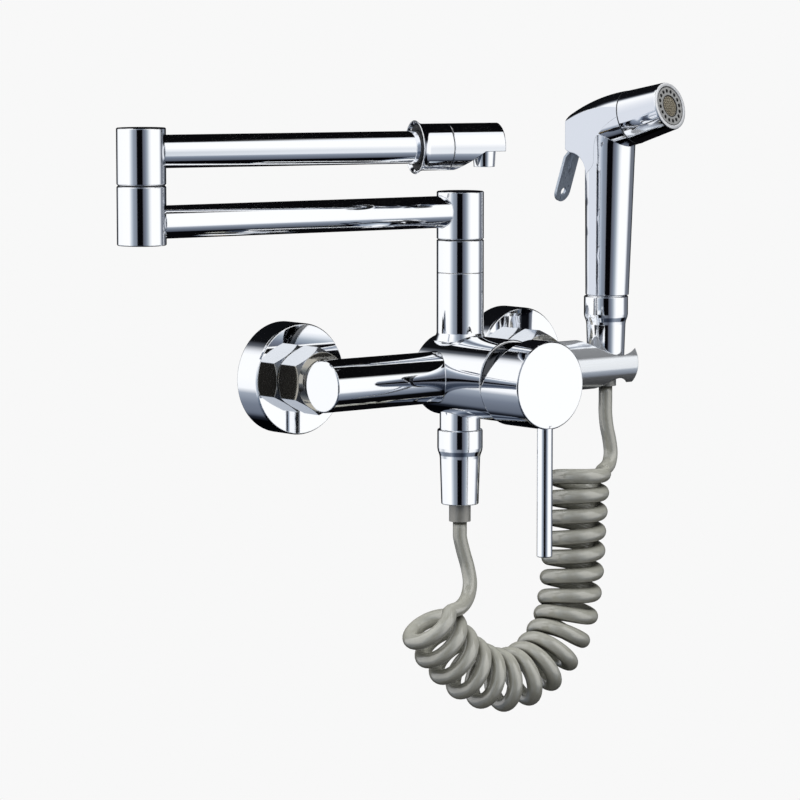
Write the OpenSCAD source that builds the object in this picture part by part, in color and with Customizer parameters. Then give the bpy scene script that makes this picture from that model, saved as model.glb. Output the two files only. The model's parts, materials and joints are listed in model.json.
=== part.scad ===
// Wall-mounted single-lever kitchen mixer with a folding two-arm spout,
// a trigger hand spray parked in the bar, and its curly hose.
// Units are millimetres. The wall is the plane Y = 0 and the mixer reaches to -Y.
// Z is up. The origin lies on the wall midway between the two inlets.

/* [Bar and wall] */
// distance between the two wall inlets
inlet_pitch = 150; // [140:1:160]
// wall to the middle of the bar
bar_reach = 53; // [50:0.5:60]
// diameter of the bar
bar_d = 26.4; // [25:0.1:28]
// bar past the left inlet to its closed end
bar_overhang = 15.7; // [14:0.1:20]
// diameter of the wall flanges
flange_d = 57; // [52:1:62]
// depth of the wall flanges
flange_depth = 16; // [14:0.5:18]
// width across the flats of the union nuts
nut_flats = 30; // [29:0.5:32]

/* [Mixer body] */
// diameter of the barrel that holds the cartridge
barrel_d = 42; // [41:0.5:46]
// wall to the front of the barrel
barrel_front = 92.8; // [90:0.2:98]
// diameter of the handle cap
cap_d = 44.4; // [43:0.2:48]
// wall to the front of the handle cap
cap_front = 122.5; // [121:0.5:124]
// diameter of the lever rod
rod_d = 7.9; // [6:0.1:9]
// bottom of the lever rod below the bar
rod_bottom = 86.9; // [70:0.5:110]

/* [Spout] */
// diameter of the column and of the elbow
column_d = 24.2; // [23.6:0.1:27]
// top of the column above the bar
column_top = 94.6; // [94:0.1:96]
// joint between the column and the swivel collar
collar_bottom = 53; // [48:0.5:56]
// joint between the collar and the turning head
collar_top = 69.6; // [68:0.1:71]
// diameter of the two arm tubes
arm_d = 16.3; // [15:0.1:17]
// length of the lower arm, column to elbow
lower_arm = 184.5; // [150:0.5:220]
// length of the upper arm, elbow to the end of the outlet
upper_arm = 188; // [160:0.5:230]
// lower arm turned back towards the wall at rest
rest_swing = 7.7; // [0:0.1:9]
// angle between the two arms at rest
rest_fold = 10.2; // [4:0.1:20]
// diameter of the outlet head
head_d = 23.4; // [22:0.1:26]

/* [Hand spray] */
// middle of the bar to the spray holder
holder_x = 102; // [98:0.5:110]
// bar past the holder to its open end
holder_tail = 12; // [11:0.5:16]
// spray turned to the right of straight out
spray_turn = 9.5; // [0:0.5:20]
// upward pitch of the spray head
spray_pitch = 15; // [10:1:20]
// diameter of the hose
hose_d = 7.8; // [7:0.1:8.2]
// radius of the curls, to the middle of the hose
curl_r = 12.8; // [12:0.1:13.3]

/* [Hidden] */
$fn = 64;
fit = 0.05;          // radial play of a turning or screwed fit
e = 0.01;            // overrun of a cut
thread_r = 10.478;   // G 1/2 outside radius
union_r = 13.2;      // G 3/4 outside radius
bar_r = bar_d / 2;
barrel_r = barrel_d / 2;
barrel_back = bar_reach - bar_r + 0.5;
cap_r = cap_d / 2;
col_r = column_d / 2;
arm_r = arm_d / 2;
head_r = head_d / 2;
hose_r = hose_d / 2;
bar_left = -inlet_pitch / 2 - bar_overhang;
bar_right = holder_x + holder_tail;

// union, washer and tail at each inlet, as distances from the wall
union_end = 24;
washer_t = 1.6;
tail_face = union_end + washer_t;
tail_collar = 3;
tail_r = 11;
union_bore = 6.5;
nut_back = flange_depth + 0.6;
nut_front = 33;
nut_chamfer = 2.3;
flange_wall = 1.2;

// cartridge and its ring nut, as distances from the wall, and the water ways
cart_r = 17.5;
cart_base = 58.2;
cart_shoulder = barrel_front - 10.8;
cart_neck_r = 12.4;
cart_neck_end = cart_shoulder + 9.5;
ring_nut_r = 18.8;
ring_nut_front = cart_shoulder + 7;
carrier_r = 10;
carrier_back = cart_shoulder + 1;
carrier_front = barrel_front + 6.7;
water_r = 5.5;
channel_gap = 8;
feed_x = 10.5;
feed_r = 3;
feed_depth = 7.8;
mixed_r = 6;
mixed_port_r = 3.4;

// handle: it turns about Y and lifts about an X axis through the pivot
pivot_y = -(barrel_front + 2.7);
dome_r = 20;
dome_wall = 1.4;
dome_mouth = 15;
dome_neck_r = 18;
cap_rear = barrel_front + 1.4;
cap_slope = 29.6;
cap_cut_z = -2.7;
cap_wall = 1.5;
cap_face = 7.1;
cap_cavity = cap_front - cap_face;
boss_r = 6.5;
stem_w = 7;
stem_h = 9;
stem_end = cap_front - 9.5;
stem_start = ring_nut_front - 1;
stem_slot = 15;
pin_r = 1.25;
rod_y = -(cap_front - rod_d / 2 - 0.15);
rod_thread_r = 2.2;

// swivels of the column and of the elbow
pivot_r = 8.5;
pivot_bore = 5;
ring_section = 0.9;
pivot_seat = collar_bottom - 12.5;
pivot_roof = 6;
seam = 0.6;
elbow_bottom = 73.4;
elbow_seam = 102.2;
elbow_seat = elbow_seam - 8.7;
elbow_top = 130.5;
lower_z = 84.3;
upper_z = 118.8;
tube_bore = arm_r - 1.2;
swing = [0, 0, rest_swing];
elbow_at = [-lower_arm * cos(rest_swing), -bar_reach + lower_arm * sin(rest_swing), 0];
upper_turn = -rest_swing - rest_fold;

// outlet head, as distances along the upper arm from the elbow
head_seam = upper_arm - 28;
head_rear = upper_arm - 45;
cup_rim_r = head_r + 0.8;
cup_flare = 9;
cup_depth = 7;
cut_z = upper_z - 2.3;
cut_end = upper_arm - 11;
cut_run = 29;
cut_drop = 20;
spout_at = upper_arm - 7.1;
spout_r = 5.8;
spout_wall = 1.2;
spout_bottom = upper_z - 10.3;

// lower outlet and the two hose nuts
outlet_top = -27.8;
nut_len = 38.8;
hose_nut_r = 11.7;
shoulder_r = 10.4;
nut_small_r = 9.65;
ferrule_r = 5.6;
ferrule_len = 9.1;
collar_drop = 17;
ferrule_collar = 3;
thread_in = 10.9;
hose_washer_t = collar_drop - ferrule_collar - thread_in - 0.2;
holder_nut_top = 35.8;
holder_mouth = 2.4;
seat_gap = 0.08;

// hand spray, in its own frame: X forward, Z up, from the holder axis, points as [x, z]
grip_bottom = 36.5;
grip_r = 11.5;
grip_top_r = 13.6;
grip_top = 128;
grip_lean = 1.1;
facet_at = 97.5;
facet_half = 13.5;
face_at = [41.8, 137];
barrel_len = 25;
face_r = 12.6;
seam_r = 14.2;
across = [-sin(spray_pitch), cos(spray_pitch)];
seam_mid = face_at - barrel_len * [cos(spray_pitch), sin(spray_pitch)];
back_edge = [-20.6, 131.8];
ridge_at = [28.15, 49.55];
ridge_r = 95.9;
ridge_round = 14;
throat_at = [-17, 100];
throat_r = 11.4;
plate_r = 10.3;
plate_low = -3.3;
plate_t = 2.8;
hole_ring = 8;
hole_r = 1.03;
mesh_r = 5.8;
chamber_r = 9;
seat_z = 92;
chamber_top = 108;
gland_top = 113.2;
stem_r = 2.2;
stem_head_r = 4.2;
head_pocket_r = 5.5;

// trigger: it turns about a pin; its arm lifts the stem, its blade hangs behind the grip
trigger_pin = [-14.5, 116];
blade_top = [-20.5, 116];
blade_w = 11.5;
blade_t = 1.5;
blade_len = 33;
blade_start = 5;
blade_tilt = 18;
blade_hole_r = 2.1;
neck_w = 7.4;
arm_w = 7.2;
arm_half = 1.1;
arm_end = 3.9;

// route of the curl axis in the plane of the bar, one point a curl, [x, z]
curls = [[-21, -126], [-14, -135.5], [-5.5, -144.5], [4, -152.5], [15, -158.5],
    [27, -162], [40, -162], [52, -158], [62, -151], [69.5, -142],
    [74.5, -132], [77, -121], [78.5, -110], [79.5, -99.5], [80, -89],
    [81, -78.5], [82, -68], [83.5, -58]];
first_turn = -0.1;
last_turn = len(curls) - 1 + 0.2;
lead_in = [[2, -0.5, -92], [4, -1.5, -100], [3.5, -4, -108], [-1, -7, -115], [-8, -9.5, -119]];
lead_out = [[103, -1.5, -54.5], [106, 0, -49], [105, 0, -41.5], [103, 0, -34], [102, 0, -26.5]];
hose_sides = 6;
rings_per_curl = 8;

// ---- shared shapes ----

// a cylinder along Y from one distance off the wall to another
module along_y(r, from, to) {
    translate([0, -from, 0]) rotate([90, 0, 0]) cylinder(r = r, h = to - from);
}

// a cylinder along X at the height and reach of the bar
module along_x(r, from, to) {
    translate([from, -bar_reach, 0]) rotate([0, 90, 0]) cylinder(r = r, h = to - from);
}

// an upright cylinder between two heights on the bar's plane
module upright(r, from, to, x = 0) {
    translate([x, -bar_reach, from]) cylinder(r = r, h = to - from);
}

// a hexagon nut blank along Y with corners up and down
module hex_y(flats, from, to) {
    translate([0, -from, 0]) rotate([90, 0, 0]) rotate([0, 0, 30])
        cylinder(r = flats / sqrt(3), h = to - from, $fn = 6);
}

// places a child at the axis of the lower or upper arm, X along the arm from its start
module lower_frame() {
    translate([0, -bar_reach, 0]) rotate([0, 0, 180 - rest_swing]) children();
}

module upper_frame() {
    translate(elbow_at) rotate([0, 0, upper_turn]) children();
}

// the frame of the hand spray: X forward, Y to its left, Z up
module spray_frame() {
    translate([holder_x, -bar_reach, 0]) rotate([0, 0, spray_turn - 90]) children();
}

// the frame of the spray face: Z out along the barrel's axis
module face_frame() {
    spray_frame() translate([face_at[0], 0, face_at[1]])
        rotate([0, 90 - spray_pitch, 0]) children();
}

// ---- wall connections ----

module wall_union(side) {
    color("silver") translate([side * inlet_pitch / 2, 0, 0]) difference() {
        union() {
            along_y(thread_r, -18, 1);
            along_y(11.6, 1, 11);
            along_y(union_r, 11, union_end);
        }
        along_y(union_bore, -18 - e, union_end + e);
    }
}

module flange(side) {
    color("gainsboro") translate([side * inlet_pitch / 2, 0, 0]) rotate([90, 0, 0])
        difference() {
            union() {
                cylinder(r = flange_d / 2, h = flange_depth - 1);
                translate([0, 0, flange_depth - 1])
                    cylinder(r1 = flange_d / 2, r2 = flange_d / 2 - 0.6, h = 1);
            }
            translate([0, 0, -e])
                cylinder(r = flange_d / 2 - flange_wall, h = flange_depth - flange_wall + e);
            cylinder(r = union_r + 0.28, h = flange_depth + 1);
        }
}

module union_nut(side) {
    color("silver") translate([side * inlet_pitch / 2, 0, 0]) difference() {
        intersection() {
            hex_y(nut_flats, nut_back, nut_front);
            translate([0, -nut_back, 0]) rotate([90, 0, 0])
                soft_cylinder(nut_flats / 2 + nut_chamfer, nut_front - nut_back, nut_chamfer);
        }
        along_y(union_r + fit, nut_back - e, tail_face + tail_collar + 0.1);
        along_y(tail_r + 0.2, nut_back, nut_front + e);
    }
}

module union_washers() {
    color("dimgray") for (side = [-1, 1])
        translate([side * inlet_pitch / 2, 0, 0]) difference() {
            along_y(12.2, union_end, tail_face);
            along_y(7, union_end - e, tail_face + e);
        }
}

module wall_union_left() wall_union(-1);
module wall_union_right() wall_union(1);
module flange_left() flange(-1);
module flange_right() flange(1);
module union_nut_left() union_nut(-1);
module union_nut_right() union_nut(1);

// ---- mixer body ----

// the outside of the brass body: bar, barrel, column foot, outlet and inlet tails
module body_outside() {
    along_x(bar_r, bar_left + 0.6, bar_right - 0.6);
    translate([bar_left, -bar_reach, 0]) rotate([0, 90, 0])
        cylinder(r1 = bar_r - 0.6, r2 = bar_r, h = 0.6);
    translate([bar_right - 0.6, -bar_reach, 0]) rotate([0, 90, 0])
        cylinder(r1 = bar_r, r2 = bar_r - 0.6, h = 0.6);
    along_y(barrel_r, barrel_back, barrel_front - 0.5);
    translate([0, -barrel_front + 0.5, 0]) rotate([90, 0, 0])
        cylinder(r1 = barrel_r, r2 = barrel_r - 0.5, h = 0.5);
    upright(col_r, 0, collar_bottom);
    translate([0, -bar_reach, barrel_r - 3]) cylinder(r1 = col_r + 1.5, r2 = col_r, h = 4);
    upright(thread_r, outlet_top - thread_in, 0);
    for (side = [-1, 1]) translate([side * inlet_pitch / 2, 0, 0]) {
        along_y(tail_r, tail_face + tail_collar, bar_reach);
        along_y(union_r - 0.4, tail_face, tail_face + tail_collar);
    }
}

// the seat for the spray's hose nut: a tapered hole, open to the bar's right end
module holder_cut() {
    taper = (shoulder_r - nut_small_r) / 23.8;
    nut_bottom = holder_nut_top - nut_len;
    seat_bottom = nut_small_r + seat_gap;
    translate([holder_x, -bar_reach, nut_bottom])
        cylinder(r1 = seat_bottom, r2 = seat_bottom + 20 * taper, h = 20);
    upright(8.3, -bar_r - 1, 0, holder_x);
    upright(10.9, -bar_r - 1, nut_bottom - 2.5, holder_x);
    translate([holder_x, -bar_reach, holder_mouth]) cylinder(r1 = 10, r2 = 21, h = 11 + e);
    translate([holder_x, -bar_reach - 8.3, -bar_r - 1])
        cube([holder_tail + 1, 16.6, bar_d]);
    translate([holder_x, -bar_reach - 10.3, 4.4])
        cube([holder_tail + 1, 20.6, bar_d]);
}

module mixer_body() {
    channel_end = inlet_pitch / 2 + water_r;
    color("silver") difference() {
        body_outside();
        // inlets, hot and cold channels and their feeds to the cartridge
        for (side = [-1, 1]) {
            translate([side * inlet_pitch / 2, 0, 0]) along_y(water_r, tail_face - e, bar_reach);
            along_x(water_r, side < 0 ? -channel_end : channel_gap, side < 0 ? -channel_gap : channel_end);
            translate([side * feed_x, 0, 0]) along_y(feed_r, bar_reach, cart_base + e);
        }
        // mixed water: back from the cartridge, up to the spout and down to the hose
        along_y(mixed_port_r, bar_reach, cart_base + e);
        upright(mixed_r, outlet_top - thread_in - e, pivot_seat);
        upright(pivot_r + fit, pivot_seat, collar_bottom + e);
        // cartridge pocket and the thread of its ring nut
        along_y(cart_r + 0.1, cart_base, cart_shoulder);
        along_y(ring_nut_r + fit, cart_shoulder, barrel_front + e);
        holder_cut();
    }
}

// ---- cartridge and handle ----

module cartridge() {
    color("white") difference() {
        union() {
            along_y(cart_r, cart_base, cart_shoulder - 0.1);
            along_y(cart_neck_r, cart_shoulder - 0.1, cart_neck_end);
        }
        along_y(carrier_r + fit, carrier_back, cart_neck_end + e);
        for (side = [-1, 1]) translate([side * feed_x, 0, 0])
            along_y(feed_r, cart_base - e, cart_base + feed_depth);
        along_y(mixed_port_r, cart_base - e, cart_base + feed_depth);
    }
}

module cartridge_nut() {
    color("darkgoldenrod") difference() {
        along_y(ring_nut_r, cart_shoulder, ring_nut_front);
        along_y(cart_neck_r + 0.1, cart_shoulder - e, ring_nut_front + e);
        for (a = [0 : 60 : 300]) rotate([0, a, 0])
            translate([(cart_neck_r + ring_nut_r) / 2, -ring_nut_front, 0])
                rotate([90, 0, 0]) cylinder(r = 1.6, h = 6, center = true);
    }
}

// the polished dome that closes the barrel and shows in the cap's wedge gap
module trim_dome() {
    color("gainsboro") difference() {
        union() {
            translate([0, pivot_y, 0]) rotate([90, 0, 0]) rotate_extrude($fn = 96)
                intersection() {
                    circle(r = dome_r);
                    square([dome_r, dome_r]);
                }
            along_y(dome_r, barrel_front + 0.2, -pivot_y);
            along_y(dome_neck_r, ring_nut_front + 0.1, barrel_front + 0.2);
        }
        translate([0, pivot_y, 0]) rotate([90, 0, 0]) rotate_extrude($fn = 96)
            intersection() {
                circle(r = dome_r - dome_wall);
                square([dome_r, dome_r]);
            }
        along_y(dome_mouth, ring_nut_front, cap_front);
    }
}

// the plastic carrier turns in the cartridge; the stem rocks in its slot
module stem_carrier() {
    color("white") difference() {
        along_y(carrier_r, carrier_back + 0.1, carrier_front);
        translate([-stem_w / 2 - fit, -carrier_front - 1, -carrier_r - 1])
            cube([stem_w + 2 * fit, stem_slot, 2 * carrier_r + 2]);
        translate([-carrier_r - 1, pivot_y, 0]) rotate([0, 90, 0])
            cylinder(r = pin_r + fit, h = 2 * carrier_r + 2);
    }
}

module stem_pin() {
    color("dimgray") translate([-carrier_r + 0.6, pivot_y, 0]) rotate([0, 90, 0])
        cylinder(r = pin_r, h = 2 * carrier_r - 1.2);
}

module control_stem() {
    color("darkgoldenrod") difference() {
        translate([-stem_w / 2, -stem_end, -stem_h / 2])
            cube([stem_w, stem_end - stem_start, stem_h]);
        translate([-stem_w, pivot_y, 0]) rotate([0, 90, 0])
            cylinder(r = pin_r + fit, h = 2 * stem_w);
    }
}

// the cap: a cup with a back edge cut away at the top, so that it can rock back
module handle_cap() {
    color("gainsboro") difference() {
        union() {
            difference() {
                union() {
                    along_y(cap_r, cap_rear, cap_front - 0.6);
                    translate([0, -cap_front + 0.6, 0]) rotate([90, 0, 0])
                        cylinder(r1 = cap_r, r2 = cap_r - 0.6, h = 0.6);
                }
                along_y(cap_r - cap_wall, cap_rear - e, cap_cavity);
                translate([-cap_r - 1, -cap_rear, cap_cut_z]) rotate([cap_slope, 0, 0])
                    cube([cap_d + 2, 30, 60]);
            }
            along_y(boss_r, cap_cavity - 7.5, cap_cavity + 1);
        }
        translate([-stem_w / 2 - fit, -stem_end - 0.1, -stem_h / 2 - fit])
            cube([stem_w + 2 * fit, 20, stem_h + 2 * fit]);
        translate([0, rod_y, -cap_r - 1]) cylinder(r = rod_thread_r + fit, h = cap_r - 2.5);
        translate([0, rod_y, -cap_r - 1]) cylinder(r = rod_d / 2 + fit, h = 2.8);
    }
}

module lever_rod() {
    color("gainsboro") translate([0, rod_y, 0]) {
        translate([0, 0, -rod_bottom + 0.4])
            cylinder(r = rod_d / 2, h = rod_bottom - 0.4 - cap_r + 1.7);
        translate([0, 0, -rod_bottom])
            cylinder(r1 = rod_d / 2 - 0.4, r2 = rod_d / 2, h = 0.4);
        translate([0, 0, -cap_r + 1.6]) cylinder(r = rod_thread_r, h = cap_r - 6);
    }
}

// ---- column and lower arm ----

// a hollow pivot with two ring grooves, between two heights
module pivot_tube(from, to) {
    difference() {
        cylinder(r = pivot_r, h = to - from);
        translate([0, 0, -e]) cylinder(r = pivot_bore, h = to - from + 2 * e);
        for (z = [5, 11]) translate([0, 0, to - from - z]) oring_groove();
    }
}

module oring_groove() {
    difference() {
        cylinder(r = pivot_r + 1, h = 2 * ring_section + 0.2, center = true);
        cylinder(r = pivot_r - 2 * ring_section, h = 4, center = true);
    }
}

module orings(top) {
    for (z = [5, 11]) translate([0, 0, top - z]) rotate_extrude()
        translate([pivot_r - ring_section, 0]) circle(r = ring_section - 0.02, $fn = 24);
}

module spout_pivot() {
    color("darkgoldenrod") translate([0, -bar_reach, pivot_seat])
        pivot_tube(pivot_seat, column_top - pivot_roof);
}

module spout_orings() {
    color("black") translate([0, -bar_reach, 0]) orings(column_top - pivot_roof);
}

module swivel_collar() {
    color("gainsboro") difference() {
        upright(col_r, collar_bottom + 0.15, collar_top);
        upright(pivot_r + fit, collar_bottom, collar_top + e);
    }
}

module spout_washer() {
    color("dimgray") difference() {
        upright(col_r - 0.6, collar_top, collar_top + seam);
        upright(pivot_r + fit, collar_top - e, collar_top + seam + e);
    }
}

// a plain cylinder with softened edges at both ends
module soft_cylinder(r, h, edge = 0.4) {
    cylinder(r1 = r - edge, r2 = r, h = edge);
    translate([0, 0, edge]) cylinder(r = r, h = h - 2 * edge);
    translate([0, 0, h - edge]) cylinder(r1 = r, r2 = r - edge, h = edge);
}

module swivel_head() {
    low = collar_top + seam;
    color("gainsboro") difference() {
        translate([0, -bar_reach, low]) soft_cylinder(col_r, column_top - low);
        upright(pivot_r + 2 * fit, low - e, column_top - 4);
        lower_frame() translate([pivot_r + 1, 0, lower_z]) rotate([0, 90, 0])
            cylinder(r = arm_r + fit, h = col_r);
        lower_frame() translate([0, 0, lower_z]) rotate([0, 90, 0])
            cylinder(r = 4.5, h = col_r);
    }
}

module lower_arm_tube() {
    color("gainsboro") lower_frame() translate([pivot_r + 1, 0, lower_z])
        rotate([0, 90, 0]) difference() {
            cylinder(r = arm_r, h = lower_arm - 2 * pivot_r - 2);
            translate([0, 0, -e]) cylinder(r = tube_bore, h = lower_arm);
        }
}

module elbow_base() {
    color("gainsboro") translate(elbow_at) difference() {
        translate([0, 0, elbow_bottom]) soft_cylinder(col_r, elbow_seam - elbow_bottom);
        translate([0, 0, elbow_bottom + 3]) cylinder(r = 6.5, h = 40);
        translate([0, 0, elbow_seat]) cylinder(r = pivot_r + fit, h = 10);
        rotate([0, 0, -rest_swing]) translate([0, 0, lower_z]) rotate([0, 90, 0]) {
            translate([0, 0, pivot_r + 1 - fit]) cylinder(r = arm_r + fit, h = col_r);
            cylinder(r = 4.5, h = col_r);
        }
    }
}

module elbow_pivot() {
    color("darkgoldenrod") translate(elbow_at) translate([0, 0, elbow_seat])
        pivot_tube(elbow_seat, elbow_top - pivot_roof);
}

module elbow_orings() {
    color("black") translate(elbow_at) orings(elbow_top - pivot_roof);
}

module elbow_washer() {
    color("dimgray") translate(elbow_at) translate([0, 0, elbow_seam]) difference() {
        cylinder(r = col_r - 0.6, h = seam);
        translate([0, 0, -e]) cylinder(r = pivot_r + fit, h = seam + 2 * e);
    }
}

// ---- upper arm and outlet ----

module elbow_top() {
    low = elbow_seam + seam;
    color("gainsboro") translate(elbow_at) difference() {
        translate([0, 0, low]) soft_cylinder(col_r, elbow_top - low);
        translate([0, 0, low - e]) cylinder(r = pivot_r + 2 * fit, h = elbow_top - 4 - low);
        rotate([0, 0, upper_turn]) translate([0, 0, upper_z]) rotate([0, 90, 0]) {
            translate([0, 0, pivot_r + 1]) cylinder(r = arm_r + fit, h = col_r);
            cylinder(r = 4.5, h = col_r);
        }
    }
}

module upper_arm_tube() {
    color("gainsboro") upper_frame() translate([pivot_r + 1, 0, upper_z])
        rotate([0, 90, 0]) difference() {
            cylinder(r = arm_r, h = head_seam - pivot_r - 1);
            translate([0, 0, -e]) cylinder(r = tube_bore, h = upper_arm);
        }
}

// the nut that clamps the outlet head, flared to a deep cup round the tube
module outlet_nut() {
    color("gainsboro") upper_frame() translate([head_rear, 0, upper_z])
        rotate([0, 90, 0]) difference() {
            union() {
                cylinder(r1 = cup_rim_r, r2 = head_r, h = cup_flare);
                translate([0, 0, cup_flare]) cylinder(r = head_r, h = head_seam - head_rear - cup_flare);
            }
            translate([0, 0, -1]) cylinder(r = arm_r + fit, h = head_seam - head_rear + 2);
            translate([0, 0, -e]) cylinder(r1 = cup_rim_r - 0.6, r2 = arm_r + 1.2, h = cup_depth);
        }
}

// the outlet head: a cylinder cut away below at its end, with the nozzle seat
module outlet_head() {
    color("gainsboro") upper_frame() difference() {
        translate([head_seam + 0.3, 0, upper_z]) rotate([0, 90, 0]) {
            cylinder(r = head_r, h = upper_arm - head_seam - 0.8);
            translate([0, 0, upper_arm - head_seam - 0.8])
                cylinder(r1 = head_r, r2 = head_r - 0.5, h = 0.5);
        }
        rotate([90, 0, 0]) translate([0, 0, -head_d]) linear_extrude(2 * head_d)
            polygon([[cut_end, cut_z], [upper_arm + 5, cut_z], [upper_arm + 5, cut_z - cut_drop],
                [cut_end - cut_run, cut_z - cut_drop]]);
        translate([head_seam, 0, upper_z]) rotate([0, 90, 0])
            cylinder(r = tube_bore, h = spout_at - head_seam + 2);
        translate([spout_at, 0, cut_z - 1]) cylinder(r = spout_r - spout_wall, h = 6);
    }
}

module aerator_shell() {
    color("gainsboro") upper_frame() translate([spout_at, 0, spout_bottom]) difference() {
        cylinder(r1 = spout_r - 0.5, r2 = spout_r, h = cut_z - spout_bottom);
        translate([0, 0, -e]) cylinder(r = spout_r - spout_wall, h = 20);
    }
}

module aerator_screen() {
    color("dimgray") upper_frame() translate([spout_at, 0, spout_bottom + 1]) difference() {
        cylinder(r = spout_r - spout_wall, h = 3);
        for (a = [0 : 60 : 300]) rotate([0, 0, a]) translate([2.4, 0, -1])
            cylinder(r = 0.7, h = 5, $fn = 24);
        translate([0, 0, -1]) cylinder(r = 0.7, h = 5, $fn = 24);
    }
}

// ---- hose nuts, ferrules and the curly hose ----

// a tapered hose nut with its wide, threaded end up; top is the height of that end
module hose_nut(top) {
    difference() {
        rotate_extrude() polygon([[0, top], [hose_nut_r - 0.4, top], [hose_nut_r, top - 0.4],
            [hose_nut_r, top - 9.5], [hose_nut_r - 0.25, top - 11.2],
            [shoulder_r + 0.25, top - 13.4], [shoulder_r, top - 15],
            [nut_small_r, top - nut_len + 0.3], [nut_small_r - 0.3, top - nut_len],
            [0, top - nut_len]]);
        translate([0, 0, top - 11]) cylinder(r = thread_r + fit, h = 12);
        translate([0, 0, top - collar_drop]) cylinder(r = 8.2, h = 10);
        translate([0, 0, top - nut_len - 1]) cylinder(r = ferrule_r + fit, h = nut_len);
    }
}

// the grey strain relief: a sleeve with a collar inside the nut and a water way
module ferrule(top) {
    bottom = top - nut_len - ferrule_len;
    difference() {
        union() {
            translate([0, 0, bottom]) cylinder(r = ferrule_r, h = top - collar_drop - bottom);
            translate([0, 0, top - collar_drop]) cylinder(r = 8, h = ferrule_collar);
        }
        translate([0, 0, bottom + 1]) cylinder(r = 2.4, h = 40);
    }
}

module outlet_hose_nut() {
    color("gainsboro") translate([0, -bar_reach, 0]) hose_nut(outlet_top);
}

module outlet_ferrule() {
    color("darkgray") translate([0, -bar_reach, 0]) ferrule(outlet_top);
}

module hose_washer(top) {
    low = top - collar_drop + ferrule_collar;
    color("black") translate([0, 0, low]) difference() {
        cylinder(r = 8, h = hose_washer_t);
        translate([0, 0, -e]) cylinder(r = 4, h = hose_washer_t + 2 * e);
    }
}

module outlet_washer() {
    translate([0, -bar_reach, 0]) hose_washer(outlet_top);
}

module spray_washer() {
    translate([holder_x, -bar_reach, 0]) hose_washer(holder_nut_top);
}

module spray_hose_nut() {
    color("gainsboro") translate([holder_x, -bar_reach, 0]) hose_nut(holder_nut_top);
}

module spray_ferrule() {
    color("darkgray") translate([holder_x, -bar_reach, 0]) ferrule(holder_nut_top);
}

// Catmull-Rom value and direction on a list of points, past its ends as well
function spline_at(list, u) = let (
    n = len(list), i = min(max(floor(u), 0), n - 2), t = u - i,
    p1 = list[i], p2 = list[i + 1],
    p0 = i > 0 ? list[i - 1] : 2 * p1 - p2,
    p3 = i < n - 2 ? list[i + 2] : 2 * p2 - p1)
    0.5 * (2 * p1 + (p2 - p0) * t + (2 * p0 - 5 * p1 + 4 * p2 - p3) * t * t
        + (3 * p1 - p0 - 3 * p2 + p3) * t * t * t);
function unit(v) = v / norm(v);

// a point of the right-handed helix after u turns; whole turns face the front
function curl_point(u) = let (
    a = spline_at(curls, u),
    d = unit(spline_at(curls, u + 0.01) - spline_at(curls, u - 0.01)),
    c = curl_r * cos(360 * u), s = curl_r * sin(360 * u))
    [a[0] + s * d[1], -bar_reach - c, a[1] - s * d[0]];
function on_bar(list) = [for (p = list) [p[0], p[1] - bar_reach, p[2]]];

hose_start = outlet_top - nut_len - ferrule_len;
hose_end = holder_nut_top - nut_len - ferrule_len;
curl_steps = ceil((last_turn - first_turn) * rings_per_curl);
hose_path = concat(
    on_bar([[0, 0, hose_start], [0, 0, hose_start - hose_d]]),
    on_bar(lead_in),
    [for (i = [0 : curl_steps])
        curl_point(first_turn + (last_turn - first_turn) * i / curl_steps)],
    on_bar(lead_out),
    on_bar([[holder_x, 0, hose_end - hose_d], [holder_x, 0, hose_end]]));

// the direction of the tube at each ring; its two ends are square to the ferrules
function direction(path, i) = let (n = len(path))
    i == 0 ? unit(path[1] - path[0]) :
    i == n - 1 ? unit(path[n - 1] - path[n - 2]) :
    unit(unit(path[i + 1] - path[i]) + unit(path[i] - path[i - 1]));
function carried(v, d) = unit(v - (v * d) * d);
function frames(path, i, v, out) = i == len(path) ? out :
    let (w = carried(v, direction(path, i))) frames(path, i + 1, w, concat(out, [w]));

module tube_along(path, r, sides) {
    n = len(path);
    side_dirs = frames(path, 0, [1, 0, 0], []);
    points = [for (i = [0 : n - 1]) let (d = direction(path, i), v = side_dirs[i],
        w = cross(d, v)) for (k = [0 : sides - 1])
        path[i] + r * (cos(360 * k / sides) * v + sin(360 * k / sides) * w)];
    skin = [for (i = [0 : n - 2]) for (k = [0 : sides - 1]) let (
        a = i * sides + k, b = i * sides + (k + 1) % sides) each
        [[a, a + sides, b], [b, a + sides, b + sides]]];
    ends = [for (k = [1 : sides - 2]) each
        [[0, k, k + 1], [(n - 1) * sides, (n - 1) * sides + k + 1, (n - 1) * sides + k]]];
    polyhedron(points = points, faces = concat(skin, ends), convexity = 10);
}

module curly_hose() {
    color("darkgray") tube_along(hose_path, hose_r, hose_sides);
}

// the least gap of the hose to itself, on ring centres at least one turn's half apart
hose_len = [for (i = 0, s = 0; i < len(hose_path); i = i + 1,
    s = s + (i < len(hose_path) ? norm(hose_path[i] - hose_path[i - 1]) : 0)) s];
fine = [for (i = [0 : len(hose_path) - 2]) for (t = [0, 0.25, 0.5, 0.75])
    hose_path[i] * (1 - t) + hose_path[i + 1] * t];
least = min([for (i = [0 : len(fine) - 1]) for (j = [i + 14 : 1 : min(len(fine) - 1, i + 60)])
    norm(fine[i] - fine[j])]);
echo(hose_length = hose_len[len(hose_len) - 1], hose_gap = least - hose_d);

// ---- hand spray ----

module spray_inlet() {
    color("darkgoldenrod") translate([holder_x, -bar_reach, 0]) difference() {
        union() {
            translate([0, 0, holder_nut_top - thread_in]) cylinder(r = thread_r, h = thread_in + 0.4);
            translate([0, 0, holder_nut_top - 1]) cylinder(r = chamber_r, h = 8);
        }
        translate([0, 0, 0]) cylinder(r = 5.5, h = 60);
    }
}

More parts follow.
